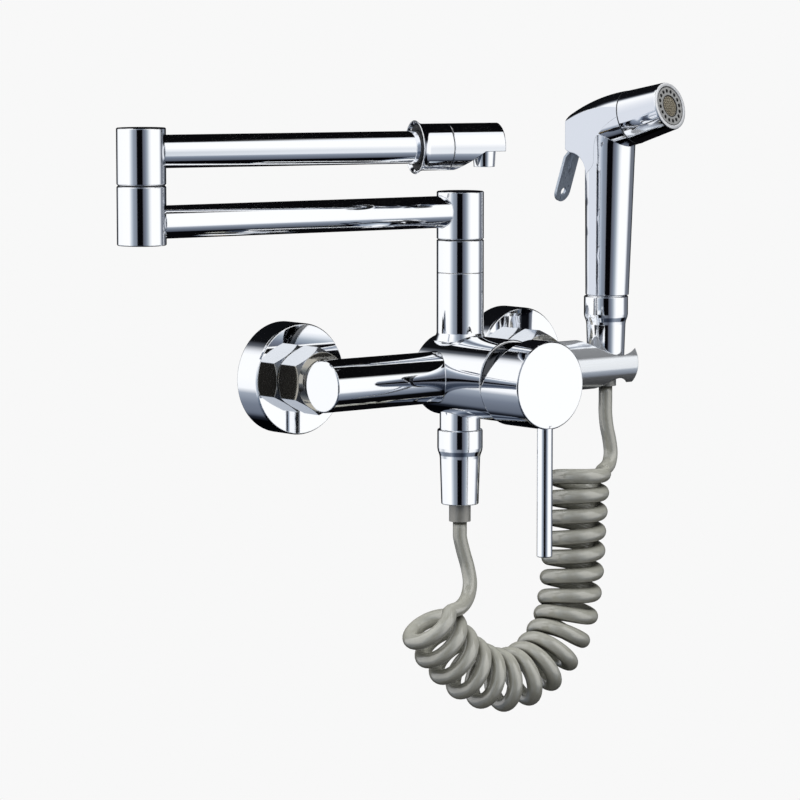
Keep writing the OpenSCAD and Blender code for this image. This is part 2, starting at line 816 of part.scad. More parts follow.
// side view of the head behind the barrel: ridge, blunt back and throat
module head_side() {
    throat = [for (a = [0 : 10 : 90])
        throat_at + throat_r * [sin(a), cos(a)]];
    polygon(concat([seam_mid + (seam_r + 2) * across, [-21.2, 146], back_edge, back_edge - [0, 18.6],
        back_edge - [-1, 19.4]], throat, [[-5, 97], [5, 97], [6, 112], [7, 118], [11, 124], [15, 128], seam_mid]));
}

// half the width of the head at a distance forward of the grip's axis
function half_width(x) = 11.43 + 0.0944 * x;

module head_plan() {
    polygon([[24, half_width(24)], [-30, half_width(-30)], [-30, -half_width(-30)],
        [24, -half_width(24)]]);
}

// the head: flat sides that close towards the back under a round, arched ridge
module head_web() {
    intersection() {
        rotate([90, 0, 0]) translate([0, 0, -20]) linear_extrude(40) head_side();
        linear_extrude(200) head_plan();
        translate([ridge_at[0], 0, ridge_at[1]]) rotate([90, 0, 0]) rotate_extrude($fn = 128) {
            translate([ridge_r - ridge_round, 0]) circle(r = ridge_round, $fn = 64);
            translate([0, -ridge_round]) square([ridge_r - ridge_round, 2 * ridge_round]);
        }
    }
}

// the edge of the flat sides, where the round grip and barrel stand out of them
flat_edge = [[24, 134.8], [20.4, 132.8], [15.1, 130], [10.8, 127.3], [6.3, 124], [3.1, 120.6],
    [1.4, 116], [1.05, 110.7], [0.3, 105.4], [-4.3, 101.3], [-12, 98.5]];
module beyond_flats() {
    difference() {
        rotate([90, 0, 0]) translate([0, 0, -20]) linear_extrude(40)
            polygon(concat([for (u = [0 : 0.25 : len(flat_edge) - 1]) spline_at(flat_edge, u)],
                [[-40, 98.5], [-40, 160], [24, 160]]));
        translate([0, 0, 80]) linear_extrude(90) head_plan();
    }
}

// the grip leans forward a little; a shallow facet runs down each of its sides
module grip() {
    slope = atan((grip_top_r - grip_r) / (grip_top - grip_bottom));
    rotate([0, grip_lean, 0]) difference() {
        translate([0, 0, grip_bottom])
            cylinder(r1 = grip_r, r2 = grip_top_r, h = grip_top - grip_bottom);
        for (side = [-1, 1]) rotate([0, 0, side * facet_at])
            translate([grip_r * cos(facet_half), 0, grip_bottom]) rotate([0, slope, 0])
                translate([0, -20, -10]) cube([20, 40, 130]);
    }
}

module spray_body() {
    color("gainsboro") difference() {
        union() {
            spray_frame() difference() {
                intersection() {
                    grip();
                    translate([0, 0, grip_bottom]) cylinder(r = 40, h = 100);
                }
                beyond_flats();
            }
            difference() {
                // only the underside of the round barrel shows behind the seam
                face_frame() translate([0, 0, -barrel_len - 16]) intersection() {
                    cylinder(r = seam_r, h = 16);
                    translate([-2, -20, -1]) cube([22, 40, 18]);
                }
                spray_frame() beyond_flats();
            }
            spray_frame() head_web();
        }
        spray_hollow();
    }
}

// water way, valve chamber, gland, the dry slot of the trigger and the pin hole
module spray_hollow() {
    spray_frame() {
        translate([0, 0, grip_bottom - 2]) cylinder(r = chamber_r + fit, h = seat_z - grip_bottom + 2);
        translate([0, 0, seat_z - e]) cylinder(r = chamber_r - 0.6, h = chamber_top - seat_z);
        translate([0, 0, chamber_top - 1]) cylinder(r = stem_r + fit, h = 12);
        translate([0, 0, gland_top]) cylinder(r = head_pocket_r, h = 11);
        translate([trigger_pin[0], -arm_w / 2 - 0.8, gland_top])
            cube([-trigger_pin[0], arm_w + 1.6, 8.8]);
        // round the pin and out at the back, where the neck of the blade swings
        rotate([90, 0, 0]) translate([0, 0, -5.2]) linear_extrude(10.4)
            polygon([[-26, 106], [-26, 113], [-17, 120], [-10.8, 120], [-10.8, 113.2], [-13.2, 106]]);
        translate([trigger_pin[0], 0, trigger_pin[1]]) rotate([90, 0, 0])
            cylinder(r = 1.55, h = 15, center = true);
        translate([9.1, 0, 104]) rotate([0, 10, 0]) cylinder(r = 2.4, h = 28);
    }
    face_frame() translate([0, 0, -barrel_len - 4]) cylinder(r = 9, h = 10);
}

module spray_barrel() {
    color("gainsboro") face_frame() difference() {
        union() {
            translate([0, 0, -barrel_len + 0.3])
                cylinder(r1 = seam_r, r2 = face_r, h = barrel_len - 1.5);
            translate([0, 0, -1.2]) rotate_extrude() polygon([[0, 0], [face_r, 0],
                [face_r - 0.25, 0.8], [face_r - 1, 1.2], [plate_r + 0.5, 1.2], [plate_r, 0.7],
                [0, 0.7]]);
        }
        translate([0, 0, -barrel_len - 1]) cylinder(r = plate_r - 1.3, h = 40);
        translate([0, 0, plate_low - 0.1]) cylinder(r = plate_r + fit, h = 10);
    }
}

module spray_plate() {
    color("lightgray") face_frame() translate([0, 0, plate_low]) difference() {
        cylinder(r = plate_r, h = plate_t);
        translate([0, 0, -1]) cylinder(r = mesh_r + fit, h = 5);
        for (a = [0 : 22.5 : 337.5]) rotate([0, 0, a]) translate([hole_ring, 0, -1])
            cylinder(r = hole_r, h = 5, $fn = 20);
    }
}

module spray_screen() {
    color("tan") face_frame() translate([0, 0, plate_low]) cylinder(r = mesh_r, h = plate_t - 0.8);
}

module valve_seat() {
    color("darkgoldenrod") spray_frame() translate([0, 0, seat_z - 4]) difference() {
        cylinder(r = chamber_r, h = 3.9);
        translate([0, 0, -1]) cylinder(r = 4, h = 6);
    }
}

// the stem lifts the plug off its seat; its head hooks over the trigger's arm
stem_head_z = trigger_pin[1] + 2 * arm_half;
module valve_stem() {
    color("darkgoldenrod") spray_frame() {
        translate([0, 0, seat_z]) cylinder(r = 6, h = 4);
        translate([0, 0, seat_z + 3]) cylinder(r = stem_r, h = stem_head_z + 0.1 - seat_z - 3);
        translate([0, 0, stem_head_z]) cylinder(r = stem_head_r, h = 1.8);
    }
}

// the return spring as one wound wire, between the plug and the chamber's roof
spring_low = seat_z + 4.3;
spring_high = chamber_top - 1.4;
spring_turns = 4;
module valve_spring() {
    rings = 8 * spring_turns;
    path = [for (i = [0 : rings]) let (a = 360 * i / 8)
        [4.9 * cos(a), 4.9 * sin(a), spring_low + 0.5 + (spring_high - spring_low - 1) * i / rings]];
    color("silver") spray_frame() tube_along(path, 0.5, 6);
}

// the frame of the blade: X down along it, Z forward out of its front face
module blade_frame() {
    translate([blade_top[0], 0, blade_top[1]]) rotate([0, 90 + blade_tilt, 0]) children();
}

// a stamped blade with a rib and a hole hangs from a neck and a boss; an arm forks at the stem
module trigger() {
    tip = blade_len - blade_w / 2;
    root = neck_w / 2 - 0.5;
    color("gainsboro") spray_frame() difference() {
        union() {
            translate([trigger_pin[0], 4.5, trigger_pin[1]]) rotate([90, 0, 0])
                cylinder(r = 3, h = 9);
            translate([trigger_pin[0], -arm_w / 2, trigger_pin[1] - arm_half])
                cube([arm_end - trigger_pin[0], arm_w, 2 * arm_half]);
            rotate([90, 0, 0]) translate([0, 0, -neck_w / 2]) linear_extrude(neck_w)
                polygon([[-22.4, 110.2], [-23.7, 110.8], [-23, 113], [-16, 118.5], [-13.5, 113.3],
                    [-21.8, 111.8]]);
            blade_frame() translate([0, 0, -blade_t]) linear_extrude(blade_t) {
                polygon([[blade_start, -root], [blade_start + 3, -blade_w / 2],
                    [tip, -blade_w / 2], [tip, blade_w / 2], [blade_start + 3, blade_w / 2],
                    [blade_start, root]]);
                translate([tip, 0]) circle(r = blade_w / 2);
            }
            // the pressed rib and the curled lip of the tip
            blade_frame() translate([blade_start + 1, 0, -0.7]) rotate([0, 90, 0]) {
                cylinder(r = 1.5, h = 8);
                translate([0, 0, 8]) cylinder(r1 = 1.5, r2 = 0.7, h = 3);
            }
        }
        translate([trigger_pin[0], 8, trigger_pin[1]]) rotate([90, 0, 0])
            cylinder(r = 1.55, h = 16);
        translate([-stem_r - 0.9, -stem_r - 0.25, trigger_pin[1] - 3])
            cube([9, 2 * stem_r + 0.5, 6]);
        blade_frame() translate([tip, 0, -4]) cylinder(r = blade_hole_r, h = 8);
    }
}

module trigger_pin() {
    color("dimgray") spray_frame() translate([trigger_pin[0], 0, trigger_pin[1]])
        rotate([90, 0, 0]) cylinder(r = 1.5, h = 14.6, center = true);
}

mixer_body();
flange_left();
flange_right();
wall_union_left();
wall_union_right();
union_nut_left();
union_nut_right();
union_washers();
cartridge();
cartridge_nut();
trim_dome();
stem_carrier();
control_stem();
stem_pin();
handle_cap();
lever_rod();
spout_pivot();
spout_orings();
swivel_collar();
spout_washer();
swivel_head();
lower_arm_tube();
elbow_base();
elbow_pivot();
elbow_orings();
elbow_washer();
elbow_top();
upper_arm_tube();
outlet_nut();
outlet_head();
aerator_shell();
aerator_screen();
outlet_hose_nut();
outlet_ferrule();
outlet_washer();
curly_hose();
spray_hose_nut();
spray_ferrule();
spray_washer();
spray_inlet();
spray_body();
spray_barrel();
spray_plate();
spray_screen();
valve_seat();
valve_stem();
valve_spring();
trigger();
trigger_pin();
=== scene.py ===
"""Finishes and studio for a wall-mounted kitchen mixer with a folding spout and a hand spray.

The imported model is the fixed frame: its solids keep their places, and this file gives them
their chrome, brass, rubber and PVC, and adds the fine pieces that dress them.
"""

import json
import math

import bmesh
import bpy
from mathutils import Matrix, Vector


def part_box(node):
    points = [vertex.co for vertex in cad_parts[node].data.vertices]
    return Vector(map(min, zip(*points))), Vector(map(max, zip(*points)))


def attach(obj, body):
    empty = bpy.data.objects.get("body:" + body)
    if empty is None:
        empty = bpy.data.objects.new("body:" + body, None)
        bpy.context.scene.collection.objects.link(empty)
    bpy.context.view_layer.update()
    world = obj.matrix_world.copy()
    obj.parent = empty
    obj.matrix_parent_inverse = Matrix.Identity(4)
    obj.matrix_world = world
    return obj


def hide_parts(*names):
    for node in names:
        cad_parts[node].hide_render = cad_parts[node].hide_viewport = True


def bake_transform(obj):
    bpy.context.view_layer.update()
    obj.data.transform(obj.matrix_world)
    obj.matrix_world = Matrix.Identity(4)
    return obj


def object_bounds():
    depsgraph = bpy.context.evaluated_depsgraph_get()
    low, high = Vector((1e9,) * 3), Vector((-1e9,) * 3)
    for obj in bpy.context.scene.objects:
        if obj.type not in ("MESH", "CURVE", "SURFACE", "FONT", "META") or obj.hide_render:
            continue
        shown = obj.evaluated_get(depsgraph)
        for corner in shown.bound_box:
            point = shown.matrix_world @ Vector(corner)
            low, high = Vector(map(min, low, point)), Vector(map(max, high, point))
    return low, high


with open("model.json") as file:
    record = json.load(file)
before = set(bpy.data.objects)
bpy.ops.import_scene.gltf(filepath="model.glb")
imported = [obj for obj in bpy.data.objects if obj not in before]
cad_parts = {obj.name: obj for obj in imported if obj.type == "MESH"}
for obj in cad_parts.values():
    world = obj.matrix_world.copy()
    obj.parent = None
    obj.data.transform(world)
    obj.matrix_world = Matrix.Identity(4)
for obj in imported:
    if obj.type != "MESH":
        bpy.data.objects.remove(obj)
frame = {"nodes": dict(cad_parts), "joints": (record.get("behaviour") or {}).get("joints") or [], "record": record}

bl_info = {
    "name": "Wall mixer finishes",
    "version": (1, 0, 0),
    "blender": (4, 5, 0),
    "location": "View3D > Sidebar > Mixer",
    "description": "Dresses a wall mixer with chrome, a curly hose and its small parts",
    "category": "Object",
}

MM = 0.001
CAD_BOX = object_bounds()
SLOTS = {part["node"]: part["material_slot"] for part in frame["record"]["subparts"]}
JOINT_AT = {joint["name"]: joint["pos_m"] for joint in frame["joints"] if "pos_m" in joint}
MOUNTS = {mount["name"]: mount for mount in frame["record"]["mounts"]}

# Radius that plating and polishing leave on the chrome's edges, in metres.
EDGE_ROUND = 0.0006

# The studio's round floor, below the mixer as a worktop would be.
FLOOR_R, FLOOR_Z = 0.62, CAD_BOX[0][2] - 0.34

# Datums of the mixer, in metres: the bar's axis before the wall, the holder's axis along it,
# and the heights at which the hose leaves its two ferrules.
BAR_REACH = -JOINT_AT["spout_swivel"][1]
HOLDER_X = 0.102
HOSE_START_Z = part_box("outlet_ferrule")[0][2]
HOSE_END_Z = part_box("spray_ferrule")[0][2]

# The hand spray: its turn in the holder, the pitch of its barrel, the middle of its face
# (forward, up), the seam of its barrel, its nozzle plate and the round of its filter.
SPRAY_TURN = math.radians(9.5)
SPRAY_PITCH = math.radians(15)
FACE_AT = (0.0418, 0.137)
SEAM_R, SEAM_BACK = 0.0142, 0.025
PLATE_R, PLATE_TOP, MESH_R = 0.0103, -0.0005, 0.0058

# The upper arm: its elbow's axis at the arm's height, its turn, and the cup at its end.
ELBOW_AT, UPPER_TURN = JOINT_AT["elbow_swivel"], math.radians(-17.9)
ARM_R, CUP_MOUTH, CUP_DEPTH, CUP_LENGTH, CUP_BACK = 0.00815, 0.0119, 0.007, 0.017, 0.143
# How far the cup's flare reaches along it, and in how many steps it curves.
FLARE_LENGTH, FLARE_STEPS = 0.0042, 14

# The wall unions: their depths grow from the wall into the room, and the thread ends at the neck.
INLET_X = MOUNTS["inlet_right"]["pos_m"][0]
THREAD_R = MOUNTS["inlet_right"]["dims"]["r_mm"] * MM
UNION_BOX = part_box("wall_union_right")
UNION_TIP, UNION_NECK, UNION_END = -UNION_BOX[1][1], 0.001, -UNION_BOX[0][1]
UNION_BORE, SHANK_R, COLLAR_R = 0.0065, 0.0116, UNION_BOX[1][2]

# The hose's mesh: points a curl, corners round it, and its radius as shares of the plain one,
# thinner at the ends and easing to full over that many points.
CURL_POINTS, HOSE_CORNERS = 44, 24
HOSE_THIN, HOSE_FULL, HOSE_EASE = 0.93, 1.045, 60
# Spans of the route that are longer than this are filled in with a smooth curve.
LONG_SPAN = 0.0045

# The outlet nozzle's axis and its lower rim, from the box of its screen.
OUTLET_LOW, OUTLET_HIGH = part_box("aerator_screen")
OUTLET_AT = ((OUTLET_LOW[0] + OUTLET_HIGH[0]) / 2, (OUTLET_LOW[1] + OUTLET_HIGH[1]) / 2,
             OUTLET_LOW[2])

# Route of the hose in millimetres: the axis of its curls in the bar's plane, one point a
# curl, and the two leads that join the curls to the ferrules.
CURL_AXIS = [
    (-21, -126), (-14, -135.5), (-5.5, -144.5), (4, -152.5), (15, -158.5), (27, -162),
    (40, -162), (52, -158), (62, -151), (69.5, -142), (74.5, -132), (77, -121),
    (78.5, -110), (79.5, -99.5), (80, -89), (81, -78.5), (82, -68), (83.5, -58),
]
FIRST_TURN = -0.1
LAST_TURN = len(CURL_AXIS) - 1 + 0.2
LEAD_IN = [(2, -0.5, -92), (4, -1.5, -100), (3.5, -4, -108), (-1, -7, -115), (-8, -9.5, -119)]
LEAD_OUT = [(103, -1.5, -54.5), (106, 0, -49), (105, 0, -41.5), (103, 0, -34), (102, 0, -26.5)]


# ---------------------------------------------------------------- node helpers


def screen_colour(red, green, blue):
    """A screen colour of 0 to 255 as the linear RGBA that shaders read."""
    def linear(c):
        c /= 255
        return c / 12.92 if c <= 0.04045 else ((c + 0.055) / 1.055) ** 2.4
    return (linear(red), linear(green), linear(blue), 1.0)


def add_node(tree, kind, **settings):
    """A new node of that kind, with its properties set."""
    made = tree.nodes.new(kind)
    for name, value in settings.items():
        setattr(made, name, value)
    return made


def feed(tree, socket, value):
    """Links a socket to value, or sets its default."""
    if isinstance(value, bpy.types.NodeSocket):
        tree.links.new(value, socket)
    else:
        socket.default_value = value


def maths(tree, operation, *values):
    """The result of a Math node on numbers or sockets."""
    made = add_node(tree, "ShaderNodeMath", operation=operation)
    for socket, value in zip(made.inputs, values):
        feed(tree, socket, value)
    return made.outputs[0]


def dot_with(tree, vector, direction):
    """The dot product of a vector socket and a fixed direction."""
    made = add_node(tree, "ShaderNodeVectorMath", operation="DOT_PRODUCT")
    feed(tree, made.inputs[0], vector)
    made.inputs[1].default_value = direction
    return made.outputs["Value"]


def band_ramp(tree, position, stops):
    """A colour ramp through (position, screen colour) stops."""
    made = add_node(tree, "ShaderNodeValToRGB")
    ramp = made.color_ramp
    while len(ramp.elements) < len(stops):
        ramp.elements.new(0.5)
    for element, (at, colour) in zip(ramp.elements, stops):
        element.position = at
        element.color = screen_colour(*colour)
    feed(tree, made.inputs[0], position)
    return made.outputs["Color"]


def new_material(name):
    """An empty material and its tree with a Principled shader joined to the output."""
    material = bpy.data.materials.new(name)
    material.use_nodes = True
    tree = material.node_tree
    tree.nodes.clear()
    shader = add_node(tree, "ShaderNodeBsdfPrincipled")
    output = add_node(tree, "ShaderNodeOutputMaterial")
    tree.links.new(shader.outputs[0], output.inputs["Surface"])
    return material, tree, shader


def noise(tree, scale, detail=3.0, roughness=0.5):
    """A noise texture on the object's own coordinates."""
    made = add_node(tree, "ShaderNodeTexNoise")
    made.inputs["Scale"].default_value = scale
    made.inputs["Detail"].default_value = detail
    made.inputs["Roughness"].default_value = roughness
    feed(tree, made.inputs["Vector"], add_node(tree, "ShaderNodeTexCoord").outputs["Object"])
    return made.outputs[0]


def split_coordinate(tree, output):
    """The X, Y and Z of a Texture Coordinate output."""
    split = add_node(tree, "ShaderNodeSeparateXYZ")
    feed(tree, split.inputs[0], add_node(tree, "ShaderNodeTexCoord").outputs[output])
    return split.outputs


def remap(tree, value, low, high, from_low=0.0, from_high=1.0):
    """Value carried from one range to another."""
    made = add_node(tree, "ShaderNodeMapRange")
    feed(tree, made.inputs[0], value)
    for socket, number in zip(made.inputs[1:5], (from_low, from_high, low, high)):
        socket.default_value = number
    return made.outputs[0]


def bump(tree, shader, height, distance, strength=1.0, edge=0.0):
    """Bumps a shader's normal by a height socket, its distance in metres; edge rounds its edges."""
    made = add_node(tree, "ShaderNodeBump")
    made.inputs["Strength"].default_value = strength
    made.inputs["Distance"].default_value = distance
    tree.links.new(height, made.inputs["Height"])
    if edge:
        rounded = add_node(tree, "ShaderNodeBevel", samples=6)
        rounded.inputs["Radius"].default_value = edge
        tree.links.new(rounded.outputs[0], made.inputs["Normal"])
    tree.links.new(made.outputs[0], shader.inputs["Normal"])


def blend_colours(tree, factor, first, second, blend_type="MIX"):
    """Two colours mixed by a factor."""
    made = add_node(tree, "ShaderNodeMix", data_type="RGBA", blend_type=blend_type)
    feed(tree, made.inputs[0], factor)
    feed(tree, made.inputs[6], first)
    feed(tree, made.inputs[7], second)
    return made.outputs[2]


def mottled(tree, first, second, share, dark, light):
    """Two noises mixed by the first one's share, as a colour from dark to light."""
    shade = maths(tree, "ADD", maths(tree, "MULTIPLY", first, share),
                  maths(tree, "MULTIPLY", second, 1 - share))
    return blend_colours(tree, remap(tree, shade, 0, 1, 0.3, 0.7),
                         screen_colour(*dark), screen_colour(*light))


# ---------------------------------------------------------------- finishes


def plate(tree, shader, roughness, satin=None):
    """Chrome's gloss: a faint breath of haze, soft waves and rounded edges; satin dulls it."""
    haze = remap(tree, noise(tree, 38, 4, 0.6), roughness * 0.6, roughness + 0.02, 0.35, 0.75)
    if satin is not None:
        haze = maths(tree, "MULTIPLY_ADD", satin, 0.05, haze)
    feed(tree, shader.inputs["Roughness"], haze)
    bump(tree, shader, noise(tree, 22, 1, 0.4), 0.00001, 0.12, EDGE_ROUND)


def chrome_finish(name, tint, roughness):
    """Mirror chrome in one tint."""
    material, tree, shader = new_material(name)
    shader.inputs["Base Color"].default_value = tint
    shader.inputs["Metallic"].default_value = 1.0
    plate(tree, shader, roughness)
    return material


def casting_finish(tint, roughness):
    """The body's chrome, which turns to a pale satin towards the holder end of its bar."""
    material, tree, shader = new_material("casting_chrome")
    along, out = split_coordinate(tree, "Object")[:2]
    satin = maths(tree, "MULTIPLY", remap(tree, along, 0, 1, 0.026, 0.044),
                  remap(tree, out, 1, 0, -0.044, -0.040))
    colour = blend_colours(tree, satin, tint, screen_colour(243, 246, 250))
    feed(tree, shader.inputs["Base Color"], colour)
    feed(tree, shader.inputs["Metallic"], remap(tree, satin, 1.0, 0.68))
    plate(tree, shader, roughness, satin)
    return material


def nut_finish(roughness):
    """Chrome of the union nuts, with painted shade that makes their vertical flats browner and darker."""
    material, tree, shader = new_material("nut_chrome")
    climb = split_coordinate(tree, "Normal")[2]
    # Painted shade: flats whose normals lie near level get a darker brown tint.
    upright_painted_shade = remap(tree, maths(tree, "ABSOLUTE", climb), 1, 0, 0.3, 0.5)
    colour = blend_colours(tree, upright_painted_shade, screen_colour(222, 226, 232),
                           screen_colour(176, 172, 162))
    feed(tree, shader.inputs["Base Color"], colour)
    shader.inputs["Metallic"].default_value = 0.93
    haze = remap(tree, noise(tree, 60, 2), roughness, roughness + 0.06)
    feed(tree, shader.inputs["Roughness"], haze)
    bump(tree, shader, noise(tree, 90, 2, 0.4), 0.00003, 0.3, EDGE_ROUND)
    return material


def spray_finish(name, tint, roughness, rim=False):
    """The hand spray's chrome: painted shade makes its flat sides greyer, and a bright rim round its face."""
    material, tree, shader = new_material(name)
    facing = add_node(tree, "ShaderNodeNewGeometry").outputs["Normal"]
    # Painted shade: surfaces that face the spray's left or right get a greyer tint.
    side = maths(tree, "ABSOLUTE", dot_with(tree, facing, left_axis()))
    colour = blend_colours(tree, remap(tree, side, 0, 1, 0.86, 0.99), tint,
                           screen_colour(214, 219, 229))
    feed(tree, shader.inputs["Base Color"], colour)
    metallic = 1.0
    if rim:
        metallic = remap(tree, dot_with(tree, facing, face_axis()), 1.0, 0.25, 0.4, 0.7)
    feed(tree, shader.inputs["Metallic"], metallic)
    plate(tree, shader, roughness)
    return material


def brass_finish(name="turned_brass"):
    """Turned brass with a fine grain in its gloss."""
    material, tree, shader = new_material(name)
    colour = blend_colours(tree, noise(tree, 90), screen_colour(204, 184, 140),
                           screen_colour(230, 212, 170))
    tree.links.new(colour, shader.inputs["Base Color"])
    shader.inputs["Metallic"].default_value = 1.0
    tree.links.new(remap(tree, noise(tree, 400, 2), 0.22, 0.4), shader.inputs["Roughness"])
    return material


def steel_finish(name, dark, light, gloss=0.24, metallic=1.0, grain_scale=700):
    """Stainless steel or blasted zinc: grey, with a fine grain."""
    material, tree, shader = new_material(name)
    grain = noise(tree, grain_scale, 4, 0.7)
    colour = mottled(tree, grain, noise(tree, 60, 2), 0.6, dark, light)
    tree.links.new(colour, shader.inputs["Base Color"])
    shader.inputs["Metallic"].default_value = metallic
    tree.links.new(remap(tree, grain, gloss - 0.04, gloss + 0.1), shader.inputs["Roughness"])
    bump(tree, shader, grain, 0.00002, 0.4, EDGE_ROUND / 3)
    return material


def rubber_finish(name, shade, roughness=0.62):
    """Matte rubber or acetal with a fine moulded grain."""
    material, tree, shader = new_material(name)
    grain = noise(tree, 900, 3, 0.6)
    dark = screen_colour(*(c * 0.85 for c in shade))
    colour = blend_colours(tree, grain, dark, screen_colour(*shade))
    tree.links.new(colour, shader.inputs["Base Color"])
    shader.inputs["Roughness"].default_value = roughness
    bump(tree, shader, grain, 0.00003, 0.5)
    return material


def hose_finish(name, light, dark, roughness):
    """Glossy warm-grey PVC with a soft mottle, and painted shade where its curls face each other."""
    material, tree, shader = new_material(name)
    mottle = noise(tree, 420, 4, 0.6)
    colour = mottled(tree, mottle, noise(tree, 26, 2, 0.5), 0.45, dark, light)
    # Painted shade: an occlusion mask darkens the colour towards a dark olive in the grooves between the curls.
    groove = add_node(tree, "ShaderNodeAmbientOcclusion", samples=8)
    groove.inputs["Distance"].default_value = 0.009
    groove_painted_shade = remap(tree, groove.outputs["AO"], 1, 0, 0.25, 0.85)
    colour = blend_colours(tree, groove_painted_shade, colour, screen_colour(62, 60, 47))
    tree.links.new(colour, shader.inputs["Base Color"])
    haze = remap(tree, mottle, roughness, roughness + 0.12, 0.3, 0.7)
    tree.links.new(haze, shader.inputs["Roughness"])
    shader.inputs["IOR"].default_value = 1.75
    shader.inputs["Specular IOR Level"].default_value = 1.0
    bump(tree, shader, noise(tree, 500, 3, 0.6), 0.00001, 0.3)
    return material


# ---------------------------------------------------------------- mesh helpers


def finished(mesh_object, body, material, smooth=True):
    """Gives a new piece its material and slot and lets it ride on its body."""
    if material is not None:
        mesh_object.data.materials.clear()
        mesh_object.data.materials.append(material)
    for polygon in mesh_object.data.polygons:
        polygon.use_smooth = smooth
    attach(mesh_object, body)
    return mesh_object


def mesh_of(name, builder):
    """The mesh of a finished builder."""
    mesh = bpy.data.meshes.new(name)
    builder.to_mesh(mesh)
    builder.free()
    return mesh


def object_from(name, mesh):
    """A linked object for a mesh."""
    made = bpy.data.objects.new(name, mesh)
    bpy.context.scene.collection.objects.link(made)
    return made


def spray_place(forward=0.0, up=0.0):
    """The row-frame matrix of the hand spray: X forward, Y to its left, Z up."""
    turn = Matrix.Rotation(SPRAY_TURN - math.pi / 2, 4, "Z")
    shift = Matrix.Translation((forward, 0, up))
    return Matrix.Translation((HOLDER_X, -BAR_REACH, 0)) @ turn @ shift


def face_place(out=0.0):
    """The row-frame matrix of the spray face: Z out of its nozzle plate."""
    pitch = Matrix.Rotation(math.pi / 2 - SPRAY_PITCH, 4, "Y")
    return spray_place(FACE_AT[0], FACE_AT[1]) @ pitch @ Matrix.Translation((0, 0, out))


def geometry_tree(name, labels):
    """A Geometry Nodes tree with named sizes, and the sockets of those sizes."""
    tree = bpy.data.node_groups.new(name, "GeometryNodeTree")
    tree.is_modifier = True
    tree.interface.new_socket("Geometry", in_out="OUTPUT", socket_type="NodeSocketGeometry")
    for label in labels:
        tree.interface.new_socket(label, in_out="INPUT", socket_type="NodeSocketFloat")
    sockets = add_node(tree, "NodeGroupInput").outputs
    return tree, [sockets[label] for label in labels]


def made_of(tree, kind, *values, **settings):
    """The first output of a new node whose inputs get values by name or in order."""
    named = settings.pop("named", {})
    made = add_node(tree, kind, **settings)
    for socket, value in zip(made.inputs, values):
        if value is not None:
            feed(tree, socket, value)
    for name, value in named.items():
        feed(tree, made.inputs[name], value)
    return made.outputs[0]


def vector_of(tree, x=0.0, y=0.0, z=0.0):
    """A vector from three numbers or sockets."""
    return made_of(tree, "ShaderNodeCombineXYZ", x, y, z)


def swept(tree, curve, thickness, sides):
    """A curve swept by a circle of that thickness."""
    circle = made_of(tree, "GeometryNodeCurvePrimitiveCircle",
                     named={"Resolution": sides, "Radius": maths(tree, "MULTIPLY", thickness, 0.5)})
    return made_of(tree, "GeometryNodeCurveToMesh",
                   named={"Curve": curve, "Profile Curve": circle, "Fill Caps": True})


def finish_tree(tree, geometry, material):
    """Ends a tree with real instances in a material."""
    real = made_of(tree, "GeometryNodeRealizeInstances", geometry)
    painted = made_of(tree, "GeometryNodeSetMaterial",
                      named={"Geometry": real, "Material": material})
    tree.links.new(painted, add_node(tree, "NodeGroupOutput").inputs[0])


def woven_tree(material):
    """A round of plain-woven wire, its two sheaves passing over and under each other."""
    tree, (radius, pitch, wire, crown) = geometry_tree(
        "woven_round", ("Radius", "Pitch", "Wire", "Crown"))
    rows = maths(tree, "CEIL", maths(tree, "DIVIDE", radius, pitch))
    reach = maths(tree, "MULTIPLY", rows, pitch)
    back = maths(tree, "MULTIPLY", reach, -1)
    straight = made_of(tree, "GeometryNodeCurvePrimitiveLine",
                       named={"Start": vector_of(tree, back), "End": vector_of(tree, reach)})
    marked = made_of(tree, "GeometryNodeResampleCurve",
                     named={"Curve": straight, "Count": maths(tree, "MULTIPLY_ADD", rows, 8, 1)})
    starts = made_of(tree, "GeometryNodeMeshLine", named={
        "Count": maths(tree, "MULTIPLY_ADD", rows, 2, 1),
        "Start Location": vector_of(tree, 0, back), "Offset": vector_of(tree, 0, pitch)})
    sheaf = made_of(tree, "GeometryNodeRealizeInstances", made_of(
        tree, "GeometryNodeInstanceOnPoints", named={"Points": starts, "Instance": marked}))
    crossed = made_of(tree, "GeometryNodeTransform",
                      named={"Geometry": sheaf, "Rotation": vector_of(tree, 0, 0, math.pi / 2)})
    split = add_node(tree, "ShaderNodeSeparateXYZ")
    tree.links.new(made_of(tree, "GeometryNodeInputPosition"), split.inputs[0])
    x, y = split.outputs[0], split.outputs[1]
    summed = maths(tree, "MULTIPLY", maths(tree, "ADD", x, y), math.pi)
    phase = maths(tree, "DIVIDE", summed, pitch)
    wave = maths(tree, "MULTIPLY", maths(tree, "COSINE", phase), maths(tree, "MULTIPLY", wire, 0.5))
    far = maths(tree, "DIVIDE", maths(tree, "SQRT", maths(tree, "MULTIPLY_ADD", x, x, maths(
        tree, "MULTIPLY", y, y))), radius)
    fall = maths(tree, "SUBTRACT", 1, maths(tree, "MULTIPLY", far, far))
    dome = maths(tree, "MULTIPLY", crown, fall)
    joined = add_node(tree, "GeometryNodeJoinGeometry")
    for wires, side in ((sheaf, 1), (crossed, -1)):
        lift = maths(tree, "MULTIPLY_ADD", wave, side, dome)
        waved = made_of(tree, "GeometryNodeSetPosition",
                        named={"Geometry": wires, "Offset": vector_of(tree, 0, 0, lift)})
        cut = made_of(tree, "GeometryNodeDeleteGeometry", domain="POINT", named={
            "Geometry": waved, "Selection": maths(tree, "GREATER_THAN", far, 1)})
        tree.links.new(swept(tree, cut, wire, 5), joined.inputs[0])
    finish_tree(tree, joined.outputs[0], material)
    return tree


